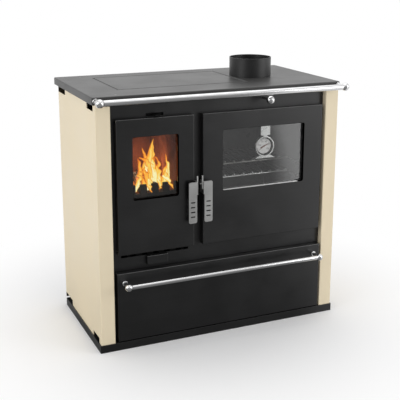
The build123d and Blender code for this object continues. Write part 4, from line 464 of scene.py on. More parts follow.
@dataclass(frozen=True)
class SprayedPaint(Finish):
    """Sprayed and baked paint on sheet steel.

    Attributes:
        specular: Specular level.
        peel_scale: Scale of the orange peel.
        peel_depth: Depth of the orange peel, in metres.
        gloss_change: How far the roughness rises and falls in patches.
        tone_change: Share by which the colour lightens and darkens in patches.
        grain: How much the sheet's rolling lines show, from 0 for not at all.
        grain_scale: Scale of the lines across.
        grain_stretch: Their scale along, as a share of that.
        grain_light: How many times lighter than the paint they are.
        edge_highlight_colour: Colour of the painted highlight on rounded edges that look up or right, if
            the paint shows it.
        rear_shade_colour: Painted shade on faces deep inside that look forward, if the paint has it.
        inner_start: Y past which a face is deep inside.
        forward_limit: How far along Y a face looks, at most, if it looks forward.
        left_shade_colour: Painted shade on faces that look left, if the paint has it.
        left_limit: How far along X a face looks, at most, if it looks left.
    """

    specular: float = 0.5
    peel_scale: float = 900.0
    peel_depth: float = 0.00004
    gloss_change: float = 0.08
    tone_change: float = 0.06
    grain: float = 0.0
    grain_scale: float = 420.0
    grain_stretch: float = 0.01
    grain_light: float = 2.2
    edge_highlight_colour: Colour | None = None
    rear_shade_colour: Colour | None = None
    inner_start: float = 0.2
    forward_limit: float = -0.5
    left_shade_colour: Colour | None = None
    left_limit: float = -0.8

    def dress(self, w: Wiring, shader: bpy.types.Node) -> None:
        """Adds orange peel and patches of tone and gloss, then what else this paint shows.

        Args:
            w: Wiring of the material's tree.
            shader: The Principled node.
        """
        shader.inputs["Specular IOR Level"].default_value = self.specular
        coat = self.effect(w, Effect.SPRAY, Scale=self.peel_scale)
        tone = w.ranged(coat.outputs["Tone"], *NOISE_SPAN)
        light = shaded(self.colour, 1 + self.tone_change)
        dark = shaded(self.colour, 1 - self.tone_change)
        colour = w.blend(tone, dark, light)
        if self.grain:
            colour = w.blend(self.rolling_lines(w), colour, shaded(self.colour, self.grain_light))
        # Painted highlight: rounded edges that look up or right are lighter, as if they caught the light.
        if self.edge_highlight_colour:
            colour = w.blend(w.held(EDGE_HIGHLIGHT_MARK), colour, self.edge_highlight_colour)
        # Painted shade on the inner faces of the rear flanges, deep behind the panels.
        if self.rear_shade_colour:
            behind = w.math("GREATER_THAN", w.along(Axis.Y), self.inner_start)
            looks_forward = w.math("LESS_THAN", w.facing(Axis.Y), self.forward_limit)
            colour = w.blend(w.math("MULTIPLY", behind, looks_forward), colour, self.rear_shade_colour)
        # Painted shade: faces that look left are darker.
        if self.left_shade_colour:
            looks_left = w.math("LESS_THAN", w.facing(Axis.X), self.left_limit)
            colour = w.blend(looks_left, colour, self.left_shade_colour)
        w.join(colour, shader.inputs["Base Color"])
        self.vary_gloss(w, shader, coat.outputs["Tone"], self.gloss_change, self.gloss_change)
        self.bump(w, shader, coat.outputs["Height"], self.peel_depth)

    def rolling_lines(self, w: Wiring) -> bpy.types.NodeSocket:
        """Mask of the faint lines along X that rolling leaves in the sheet."""
        lines = self.effect(w, Effect.BRUSH, Scale=self.grain_scale, Stretch=self.grain_stretch)
        return w.ranged(lines.outputs["Height"], *NOISE_MIDDLE, 0.0, self.grain)


@dataclass(frozen=True)
class BrushedMetal(Finish):
    """Metal with brush lines along X.

    Attributes:
        scale: Scale of the lines across.
        stretch: Their scale along, as a share of that.
        depth: Their depth in metres, or 0 for lines that only tint the metal.
        gloss_change: How far the roughness rises and falls in patches.
        line_shade: How dark the lines are, where 1 is the metal's own colour.
    """

    scale: float = 1800.0
    stretch: float = 0.02
    depth: float = 0.00002
    gloss_change: float = 0.06
    line_shade: float = 0.88

    def dress(self, w: Wiring, shader: bpy.types.Node) -> None:
        """Adds brush lines and uneven gloss.

        Args:
            w: Wiring of the material's tree.
            shader: The Principled node.
        """
        shader.inputs["Metallic"].default_value = 1.0
        lines = self.effect(w, Effect.BRUSH, Scale=self.scale, Stretch=self.stretch)
        tone = w.ranged(lines.outputs["Height"], *NOISE_SPAN)
        dark = shaded(self.colour, self.line_shade)
        w.join(w.blend(tone, dark, self.colour), shader.inputs["Base Color"])
        self.vary_gloss(w, shader, lines.outputs["Tone"], self.gloss_change, self.gloss_change)
        if self.depth:
            self.bump(w, shader, lines.outputs["Height"], self.depth)


@dataclass(frozen=True)
class RackWire(Finish):
    """Wire that is bright along its front, with painted shade that darkens it deeper in the oven.

    Attributes:
        shade_colour: Colour of the wire in its painted shade.
        shade_roughness: Its roughness there.
        bright_back: Y up to which the wire is bright.
        shade_front: Y from which it is in painted shade.
        metal: How metallic the wire is.
        uneven: How far patches shift the change.
    """

    shade_colour: Colour = (0.08, 0.075, 0.068)
    shade_roughness: float = 0.5
    bright_back: float = -0.088
    shade_front: float = -0.074
    metal: float = 0.6
    uneven: float = 0.1

    def dress(self, w: Wiring, shader: bpy.types.Node) -> None:
        """Adds the change from bright to painted shade.

        Args:
            w: Wiring of the material's tree.
            shader: The Principled node.
        """
        shader.inputs["Metallic"].default_value = self.metal
        patchiness = self.effect(w, Effect.SPRAY)
        # Painted shade: the wire darkens with its depth in the oven, and patches shift where.
        depth = w.ranged(w.along(Axis.Y), self.bright_back, self.shade_front)
        patches = w.ranged(patchiness.outputs["Tone"], *NOISE_SPAN, -self.uneven, self.uneven)
        in_shade = w.math("ADD", depth, patches, clamp=True)
        w.join(w.blend(in_shade, self.colour, self.shade_colour), shader.inputs["Base Color"])
        rough = w.ranged(in_shade, 0.0, 1.0, self.roughness, self.shade_roughness)
        w.join(rough, shader.inputs["Roughness"])


@dataclass(frozen=True)
class CastIron(Finish):
    """Raw casting with a grainy skin, and with rust tones and a change of gloss in patches.

    Attributes:
        patch_colour: Colour of the patches.
        patch_span: Tones between which they grow.
        scale: Scale of the grain.
        depth: Depth of the grain, in metres.
        specular: Specular level.
        gloss_change: How far the roughness falls between the patches.
    """

    patch_colour: Colour = (0.03, 0.022, 0.018)
    patch_span: tuple[float, float] = (0.45, 0.75)
    scale: float = 420.0
    depth: float = 0.0004
    specular: float = 0.25
    gloss_change: float = 0.12

    def dress(self, w: Wiring, shader: bpy.types.Node) -> None:
        """Adds grain, pits and patches.

        Args:
            w: Wiring of the material's tree.
            shader: The Principled node.
        """
        shader.inputs["Specular IOR Level"].default_value = self.specular
        skin = self.effect(w, Effect.CAST, Scale=self.scale)
        patches = w.ranged(skin.outputs["Tone"], *self.patch_span)
        w.join(w.blend(patches, self.colour, self.patch_colour), shader.inputs["Base Color"])
        self.vary_gloss(w, shader, skin.outputs["Tone"], self.gloss_change, 0.0)
        self.bump(w, shader, skin.outputs["Height"], self.depth)


@dataclass(frozen=True)
class FireClay(Finish):
    """Fired clay that is warm low down and sooty higher up.

    Attributes:
        soot_colour: Colour of the soot.
        soot_low: Z from which soot shows.
        soot_high: Z from which it is at its thickest.
        soot_most: How much of the clay it then hides.
        uneven: How far patches thicken and thin the soot.
        patch_span: Tones between which they do.
        scale: Scale of the grain.
        depth: Depth of the grain, in metres.
        specular: Specular level.
    """

    soot_colour: Colour = (0.07, 0.03, 0.02)
    soot_low: float = 0.50
    soot_high: float = 0.74
    soot_most: float = 0.8
    uneven: float = 0.3
    patch_span: tuple[float, float] = (0.3, 0.75)
    scale: float = 260.0
    depth: float = 0.0008
    specular: float = 0.1

    def dress(self, w: Wiring, shader: bpy.types.Node) -> None:
        """Adds grain and soot.

        Args:
            w: Wiring of the material's tree.
            shader: The Principled node.
        """
        shader.inputs["Specular IOR Level"].default_value = self.specular
        skin = self.effect(w, Effect.CAST, Scale=self.scale)
        rise = w.ranged(w.along(Axis.Z), self.soot_low, self.soot_high, 0.0, self.soot_most)
        patches = w.ranged(skin.outputs["Tone"], *self.patch_span, -self.uneven, self.uneven)
        sooty = w.math("ADD", rise, patches, clamp=True)
        w.join(w.blend(sooty, self.colour, self.soot_colour), shader.inputs["Base Color"])
        self.bump(w, shader, skin.outputs["Height"], self.depth)


@dataclass(frozen=True)
class RopeSeal(Finish):
    """Glass-fibre rope: fine threads over the shape of its strands.

    Attributes:
        scale: Scale of the threads.
        depth: Depth of the gaps between them, in metres.
        gap_shade: How dark the gaps are, where 1 is the rope's own colour.
    """

    scale: float = 900.0
    depth: float = 0.0004
    gap_shade: float = 0.5

    def dress(self, w: Wiring, shader: bpy.types.Node) -> None:
        """Adds threads, darker in the gaps between them.

        Args:
            w: Wiring of the material's tree.
            shader: The Principled node.
        """
        threads = w.add("TexNoise", Scale=self.scale, Detail=3.0)
        w.join(w.object_place(), threads.inputs["Vector"])
        tone = w.ranged(threads.outputs["Fac"], *NOISE_MIDDLE)
        gaps = shaded(self.colour, self.gap_shade)
        w.join(w.blend(tone, gaps, self.colour), shader.inputs["Base Color"])
        self.bump(w, shader, threads.outputs["Fac"], self.depth)


@dataclass(frozen=True)
class Pane(Finish):
    """Clear heat-resistant glass that the lamps shine through.

    Attributes:
        shade: Share of the lamps' light that gets through.
        specular: Specular level.
        ior: Index of refraction, which sets how strongly the pane reflects.
    """

    shade: float = 0.92
    specular: float = 0.15
    ior: float = 1.45

    def dress(self, w: Wiring, shader: bpy.types.Node) -> None:
        """Makes the shader glass, but a clear film to the rays that carry the lamps' light.

        Args:
            w: Wiring of the material's tree.
            shader: The Principled node.
        """
        shader.inputs["Transmission Weight"].default_value = 1.0
        shader.inputs["IOR"].default_value = self.ior
        shader.inputs["Specular IOR Level"].default_value = self.specular
        clear = w.add("BsdfTransparent")
        clear.inputs["Color"].default_value = (self.shade, self.shade, self.shade, 1.0)
        rays = w.add("LightPath").outputs
        gathers = w.math("MAXIMUM", rays["Is Shadow Ray"], rays["Is Diffuse Ray"])
        w.show_either(gathers, shader, clear)


@dataclass(frozen=True)
class Flame(Finish):
    """Burning gas, coloured and thickened by the heat that its mesh holds.

    Attributes:
        stops: Colours of the glow from the coolest to the hottest.
        thickness: How solid the coolest and the hottest gas looks.
        thick_span: Heats between which it goes from the one to the other.
        streak: How far the streaks cool and heat it.
        streak_scale: Scale of the streaks.
        streak_height: Their scale upwards, as a share of that, which below 1 draws them out.
        streak_bend: How much the streaks bend.
    """

    stops: Sequence[tuple[float, Colour]] = (
        (0.0, (0.42, 0.035, 0.004)),
        (0.25, (0.86, 0.17, 0.012)),
        (0.5, (1.0, 0.38, 0.03)),
        (0.75, (1.0, 0.66, 0.10)),
        (1.0, (1.0, 0.93, 0.50)),
    )
    thickness: tuple[float, float] = (0.0, 0.97)
    thick_span: tuple[float, float] = (0.02, 0.6)
    streak: float = 0.09
    streak_scale: float = 70.0
    streak_height: float = 0.35
    streak_bend: float = 0.6

    def dress(self, w: Wiring, shader: bpy.types.Node) -> None:
        """Makes the surface glow in the colours of its heat, with streaks that rise.

        Args:
            w: Wiring of the material's tree.
            shader: The Principled node.
        """
        shader.inputs["Specular IOR Level"].default_value = 0.0
        shader.inputs["Emission Strength"].default_value = 1.0
        stretched = w.add("Mapping")
        stretched.inputs["Scale"].default_value = (1.0, 1.0, self.streak_height)
        w.join(w.object_place(), stretched.inputs["Vector"])
        licks = w.add("TexNoise", Scale=self.streak_scale, Detail=2.0, Distortion=self.streak_bend)
        w.join(stretched.outputs[0], licks.inputs["Vector"])
        streaks = w.ranged(licks.outputs["Fac"], *NOISE_MIDDLE, -self.streak, self.streak)
        heat = w.math("ADD", w.held(HEAT_MARK), streaks, clamp=True)
        ramp = w.add("ValToRGB")
        elements = ramp.color_ramp.elements
        for place, colour in self.stops[1:-1]:
            elements.new(place).color = (*colour, 1.0)
        elements[0].color = (*self.stops[0][1], 1.0)
        elements[-1].color = (*self.stops[-1][1], 1.0)
        w.join(heat, ramp.inputs[0])
        w.join(ramp.outputs["Color"], shader.inputs["Emission Color"])
        w.join(w.ranged(heat, *self.thick_span, *self.thickness), shader.inputs["Alpha"])


@dataclass(frozen=True)
class Char(Finish):
    """Charred wood with pale ash in patches, and with glowing cracks in others.

    Attributes:
        ash_colour: Colour of the ash.
        ash_most: How much of the wood it hides at its thickest.
        ash_span: Values of the patches between which the ash grows, from none to the most.
        glow_colour: Colour of the glow.
        glow: Strength of the glow.
        alight_span: Values of the patches between which the cracks catch.
        crack_scale: Scale of the cracks.
        crack_width: Width of a glowing crack, as a share of the pattern.
        crack_depth: Depth of the cracks, in metres.
        patch_scale: Scale of the patches.
    """

    ash_colour: Colour = (0.3, 0.28, 0.26)
    ash_most: float = 0.5
    ash_span: tuple[float, float] = (0.5, 0.3)
    glow_colour: Colour = (1.0, 0.25, 0.03)
    glow: float = 2.0
    alight_span: tuple[float, float] = (0.42, 0.62)
    crack_scale: float = 90.0
    crack_width: float = 0.12
    crack_depth: float = 0.004
    patch_scale: float = 18.0

    def dress(self, w: Wiring, shader: bpy.types.Node) -> None:
        """Adds cracks, some of them alight, and pale ash.

        Args:
            w: Wiring of the material's tree.
            shader: The Principled node.
        """
        cracks = w.add("TexVoronoi", feature="DISTANCE_TO_EDGE", Scale=self.crack_scale)
        w.join(w.object_place(), cracks.inputs["Vector"])
        patches = w.add("TexNoise", Scale=self.patch_scale, Detail=4.0)
        w.join(w.object_place(), patches.inputs["Vector"])
        alight = w.ranged(patches.outputs["Fac"], *self.alight_span)
        edge = w.ranged(cracks.outputs["Distance"], 0.0, self.crack_width, 1.0, 0.0)
        ash = w.ranged(patches.outputs["Fac"], *self.ash_span, 0.0, self.ash_most)
        w.join(w.blend(ash, self.colour, self.ash_colour), shader.inputs["Base Color"])
        glow = w.blend(w.math("MULTIPLY", edge, alight), (0.0, 0.0, 0.0), self.glow_colour)
        w.join(glow, shader.inputs["Emission Color"])
        shader.inputs["Emission Strength"].default_value = self.glow
        self.bump(w, shader, cracks.outputs["Distance"], self.crack_depth)


# Colour of the painted highlight on the black paint's rounded edges.
EDGE_HIGHLIGHT_TONE: Colour = (0.10, 0.10, 0.10)
BLACK_PAINT = SprayedPaint(
    "satin_black_paint", (0.0027, 0.0027, 0.0029), 0.36, specular=0.7, grain=0.5, edge_highlight_colour=EDGE_HIGHLIGHT_TONE
)
CARCASS_PAINT = SprayedPaint("matt_black_paint", (0.003, 0.003, 0.003), 0.6, specular=0.1)
# The cream panels carry painted shade on the inner faces of their rear flanges.
CREAM_PAINT = SprayedPaint(
    "cream_powder_coat", (0.80, 0.695, 0.505), 0.45, specular=0.3, peel_scale=700.0, tone_change=0.012,
    rear_shade_colour=(0.045, 0.035, 0.02),
)
# The hob plate's faces that look left carry painted shade.
HOB_PAINT = SprayedPaint(
    "hob_plate_paint", (0.035, 0.0345, 0.034), 0.38, specular=0.5, gloss_change=0.03, tone_change=0.1,
    left_shade_colour=(0.006, 0.006, 0.006),
)
FLUE_PAINT = SprayedPaint("flue_paint", (0.003, 0.003, 0.0032), 0.42, specular=0.65)
OVEN_ENAMEL = SprayedPaint("oven_enamel", (0.05, 0.05, 0.051), 0.35, peel_scale=500.0)
CHROME = BrushedMetal(
    "polished_chrome", (0.72, 0.72, 0.725), 0.14, scale=300.0, depth=0.0, gloss_change=0.02
)
# Lit and shaded copies of one wire: the upper rack's copy is darker as painted shade, and both darken
# deeper in the oven as painted shade.
RACK_CHROME = RackWire("bright_wire", (0.95, 0.95, 0.94), 0.25)
SHADED_WIRE = RackWire("shaded_wire", (0.30, 0.295, 0.28), 0.35)
STEEL = BrushedMetal("brushed_steel", (0.66, 0.66, 0.65), 0.36)
BRIGHT_STEEL = BrushedMetal("bright_steel", (0.86, 0.86, 0.85), 0.30)
ZINC = BrushedMetal("zinc_plating", (0.42, 0.42, 0.42), 0.42)
GALVANISED = BrushedMetal("galvanised_sheet", (0.5, 0.51, 0.52), 0.45, scale=160.0, stretch=0.6)
IRON = CastIron("cast_iron", (0.012, 0.010, 0.009), 0.75)
CLAY = FireClay("fire_clay", (0.27, 0.095, 0.05), 0.9)
OVEN_GLASS = Pane("oven_glass", (0.97, 0.98, 0.975), 0.0, specular=0.5, ior=1.9)
FIRE_GLASS = Pane("fire_glass", (0.97, 0.98, 0.975), 0.0, specular=0.06)
ROPE = RopeSeal("rope_seal", (0.13, 0.125, 0.12), 0.9)
DIAL = SprayedPaint("dial_face", (0.62, 0.61, 0.60), 0.35)
INK = SprayedPaint("dial_ink", (0.02, 0.02, 0.02), 0.5)
NEEDLE = SprayedPaint("needle_paint", (0.15, 0.07, 0.055), 0.4)
# A pale trim below the oven glass: partly a real strip, and partly a painted highlight.
SILL_HIGHLIGHT_PAINT = SprayedPaint("sill_highlight_bead", (0.85, 0.85, 0.84), 0.35)
# Matt black liner that paints the shade inside the window reveals.
SHADE_LINER = SprayedPaint("black_edge_seal", (0.001, 0.001, 0.001), 0.8, specular=0.0)
FLAME = Flame("flame", (0.0, 0.0, 0.0), 1.0)
CHARRED = Char("charred_wood", (0.02, 0.017, 0.015), 0.95)
EMBER = Char("glowing_ember", (0.05, 0.02, 0.015), 0.95, glow=1.6, crack_scale=160.0)

FINISH_OF_SLOT: dict[str, Finish] = {
    "black_paint": BLACK_PAINT,
    "cream_paint": CREAM_PAINT,
    "carcass_paint": CARCASS_PAINT,
    "hob_steel": HOB_PAINT,
    "flue_paint": FLUE_PAINT,
    "galvanised_steel": GALVANISED,
    "chrome": CHROME,
    "rack_wire": RACK_CHROME,
    "brushed_steel": STEEL,
    "zinc_steel": ZINC,
    "cast_iron": IRON,
    "fire_brick": CLAY,
    "door_glass": OVEN_GLASS,
    "rope_seal": ROPE,
    "oven_enamel": OVEN_ENAMEL,
    "thermometer_steel": BRIGHT_STEEL,
    "dial_face": DIAL,
    "needle_paint": NEEDLE,
}
FINISH_OF_NODE: dict[str, Finish] = {"fire_door_glass": FIRE_GLASS}
SLOT_OF_NODE: dict[str, str] = {part["node"]: part["material_slot"] for part in frame["record"]["subparts"]}


def finish_of(node: str) -> Finish:
    """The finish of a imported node: its own, or that of its material slot."""
    return FINISH_OF_NODE.get(node, FINISH_OF_SLOT[SLOT_OF_NODE[node]])


def dress_packed_nodes() -> None:
    """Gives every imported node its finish."""
    for node in SLOT_OF_NODE:
        piece = frame["nodes"][node]
        piece.data.materials.clear()
        piece.data.materials.append(finish_of(node).material())
    log.info("dressed %d packed nodes", len(SLOT_OF_NODE))


# ---------------------------------------------------------------- mesh helpers


# Part of a face's normal that lies along an axis, past which the face looks along it.
SQUARE_ON = 0.985

# How far a rod's ends are eased: shares of its radius and of its length, of which the smaller holds.
EASED_RADIUS = 0.12
EASED_LENGTH = 0.2


def is_square_on(normal: Vector) -> bool:
    """True if a face looks straight along an axis, or within 10 degrees of it."""
    return max(abs(part) for part in normal) > SQUARE_ON


def finished(
    name: str, bm: bmesh.types.BMesh, body: str, finish: Finish, sharp: float = 35.0,
    flat_sides: bool = False,
) -> bpy.types.Object:
    """Turns a bmesh into a dressed piece that rides on a body.

    Args:
        name: The piece's name.
        bm: The piece's mesh, in place.
        body: The body that it rides on.
        finish: Its finish.
        sharp: Angle in degrees past which an edge stays sharp.
        flat_sides: True to shade the faces that look along an axis flat, and the rest smooth.

    Returns:
        The new object.
    """
    bmesh.ops.remove_doubles(bm, verts=bm.verts, dist=OWN_WELD)
    bmesh.ops.recalc_face_normals(bm, faces=bm.faces)
    mesh = bpy.data.meshes.new(name)
    bm.to_mesh(mesh)
    bm.free()
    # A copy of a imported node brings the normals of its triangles, which its new faces don't have.
    packed_normals = mesh.attributes.get("custom_normal")
    if packed_normals:
        mesh.attributes.remove(packed_normals)
    mesh.shade_smooth()
    mesh.set_sharp_from_angle(angle=math.radians(sharp))
    for face in mesh.polygons:
        face.use_smooth = not (flat_sides and is_square_on(face.normal))
    mesh.materials.append(finish.material())
    piece = bpy.data.objects.new(name, mesh)
    bpy.context.scene.collection.objects.link(piece)
    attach(piece, body)
    log.info("%s rides on %s: %d faces", name, body, len(mesh.polygons))
    return piece


def body_of_node(node: str) -> str:
    """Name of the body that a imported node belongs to."""
    return frame["nodes"][node]["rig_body"]


def station(place: Vector, along: Vector, side: Vector, wide: float, deep: float) -> Matrix:
    """Where a unit circle lies across a path.

    Args:
        place: Its centre.
        along: The path's direction there.
        side: The direction of its first half axis, made square to the path.
        wide: That half axis.
        deep: The other half axis.

    Returns:
        The matrix that puts the circle there.
    """
    forward = along.normalized()
    across = (side - forward * side.dot(forward)).normalized()
    up = forward.cross(across)
    columns = (across * wide, up * deep, forward, place)
    matrix = Matrix.Identity(4)
    for index, column in enumerate(columns):
        for row in range(3):
            matrix[row][index] = column[row]
    return matrix


def sweep(
    bm: bmesh.types.BMesh, stations: Sequence[Matrix], segments: int = 12, closed: bool = False
) -> list[list[bmesh.types.BMVert]]:
    """Draws a round section along a path by extruding it from station to station.

    Args:
        bm: The mesh to add to.
        stations: Places of the section. A closed path ends on its first station.
        segments: Sides of the section.
        closed: True if the path is a loop.

    Returns:
        The vertices of each station of an open path, or nothing for a loop.
    """
    ring = bmesh.ops.create_circle(bm, cap_ends=True, segments=segments, radius=1.0)["verts"]
    bmesh.ops.transform(bm, matrix=stations[0], verts=ring)
    first = cap = ring[0].link_faces[0]
    rings = [ring]
    for before, after in zip(stations, stations[1:]):
        grown = bmesh.ops.extrude_face_region(bm, geom=[cap])["geom"]
        verts = [item for item in grown if isinstance(item, bmesh.types.BMVert)]
        cap = next(item for item in grown if isinstance(item, bmesh.types.BMFace))
        bmesh.ops.transform(bm, matrix=after @ before.inverted(), verts=verts)
        rings.append(verts)
    if closed:
        bmesh.ops.delete(bm, geom=[face for face in (first, cap) if face.is_valid], context="FACES_ONLY")
        bmesh.ops.remove_doubles(bm, verts=bm.verts, dist=OWN_WELD)
        return []
    return rings


def rod(bm: bmesh.types.BMesh, start: Vector, end: Vector, radius: float, segments: int = 32) -> None:
    """Adds a straight round rod, which doesn't stand upright, with its ends slightly eased.

    Args:
        bm: The mesh to add to.
        start: Where its centre line starts.
        end: Where that ends.
        radius: Its radius.
        segments: Sides of its section.
    """
    along = end - start
    side = Axis.Z.vector
    soft = min(radius * EASED_RADIUS, along.length * EASED_LENGTH)
    step = along.normalized() * soft
    inner = radius - soft
    sweep(bm, [
        station(start, along, side, inner, inner),
        station(start + step, along, side, radius, radius),
        station(end - step, along, side, radius, radius),
        station(end, along, side, inner, inner),
    ], segments)


def ball(bm: bmesh.types.BMesh, centre: Vector, radius: float) -> None:
    """Adds a smooth ball."""
    place = Matrix.Translation(centre)
    bmesh.ops.create_uvsphere(bm, u_segments=40, v_segments=24, radius=radius, matrix=place)


def block(bm: bmesh.types.BMesh, low: Vector, high: Vector, bevel: float = 0.0) -> list[bmesh.types.BMVert]:
    """Adds a box between two corners, with its edges rounded if a bevel is given.

    Args:
        bm: The mesh to add to.
        low: Its lowest corner.
        high: Its highest corner.
        bevel: Radius of its edges.

    Returns:
        Its vertices before rounding.
    """
    place = Matrix.Translation((low + high) / 2) @ Matrix.Diagonal((*(high - low), 1.0))
    verts = bmesh.ops.create_cube(bm, size=1.0, matrix=place)["verts"]
    if bevel:
        edges = {edge for vert in verts for edge in vert.link_edges}
        bmesh.ops.bevel(
            bm, geom=list(edges), offset=bevel, segments=2, profile=0.5, affect="EDGES", material=-1,
            clamp_overlap=True,
        )
    return verts


def curve_point(points: Sequence[Vector], share: float) -> Vector:
    """Point at a share of a smooth curve through given points.

    Args:
        points: The points, in order.
        share: Share of the curve, from 0 at its first point to 1 at its last.

    Returns:
        The point.
    """
    spans = len(points) - 1
    index = min(int(share * spans), spans - 1)
    part = share * spans - index
    before = points[max(index - 1, 0)]
    start = points[index]
    end = points[index + 1]
    after = points[min(index + 2, spans)]
    return 0.5 * (
        2 * start
        + (end - before) * part
        + (2 * before - 5 * start + 4 * end - after) * part**2
        + (3 * start - before - 3 * end + after) * part**3
    )


# Seams that fold less than the first angle go, and outer edges that fold more than the second one
# are rounded.
FLAT_SEAM = math.radians(0.5)
ROUNDED_CORNER = math.radians(50)

# How strongly the painted highlight of an edge grows as it looks up, and the share of that as it looks
# right.
EDGE_HIGHLIGHT_GAIN = 1.4
EDGE_HIGHLIGHT_RIGHT = 0.7


def soften(node: str, bevel: float = 0.0, sharp: float = 22.0, lit_edges: bool = False) -> None:
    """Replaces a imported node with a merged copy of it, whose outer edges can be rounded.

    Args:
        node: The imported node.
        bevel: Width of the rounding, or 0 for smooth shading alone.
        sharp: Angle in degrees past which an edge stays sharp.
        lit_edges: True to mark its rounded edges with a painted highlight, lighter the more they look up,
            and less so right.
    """
    bm = bmesh.new()
    bm.from_mesh(frame["nodes"][node].data)
    bmesh.ops.remove_doubles(bm, verts=bm.verts, dist=PACKED_WELD)
    if bevel:
        bmesh.ops.dissolve_limit(bm, angle_limit=FLAT_SEAM, verts=bm.verts, edges=bm.edges)
        sound = [edge for edge in bm.edges if edge.is_manifold]
        edges = [edge for edge in sound if edge.calc_face_angle_signed() > ROUNDED_CORNER]
        bmesh.ops.bevel(
            bm, geom=edges, offset=bevel, offset_type="OFFSET", segments=2, profile=0.5, affect="EDGES",
            material=-1, clamp_overlap=True,
        )
    # Painted highlight: edges that look up, or less so right, are marked to show lighter.
    if lit_edges:
        mark = bm.loops.layers.uv.new(EDGE_HIGHLIGHT_MARK)
        for face in bm.faces:
            lit = max(face.normal.z, EDGE_HIGHLIGHT_RIGHT * face.normal.x, 0.0) * EDGE_HIGHLIGHT_GAIN
            edge_highlight = 0.0 if is_square_on(face.normal) else min(lit, 1.0)
            for loop in face.loops:
                loop[mark].uv = (edge_highlight, 0.0)
    piece = finished(
        f"{node}_soft", bm, body_of_node(node), finish_of(node), sharp, flat_sides=bevel > 0
    )
    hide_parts(node)


# ---------------------------------------------------------------- fire


@dataclass(frozen=True)
class Tongue:
    """One tongue of flame along a bent spine.

    Attributes:
        depth: Its place along Y.
        width: Its widest half width.
        spine: Places along X and Z, from its foot to its tip.
        heat: How hot it is, from 0 for an orange wisp to 1 for a pale core.
    """

    depth: float
    width: float
    spine: Sequence[tuple[float, float]]
    heat: float = 1.0


@dataclass(frozen=True)
class Strand:
    """One strand of a tongue.

    Attributes:
        heat: How hot its tongue is.
        aside: How far it stands off the tongue's spine at its foot.
        reach: Share of the spine that it covers.
        half: Its widest half width.
        phase: Where it reads the noise that makes it waver.
    """

    heat: float
    aside: float
    reach: float
    half: float
    phase: float


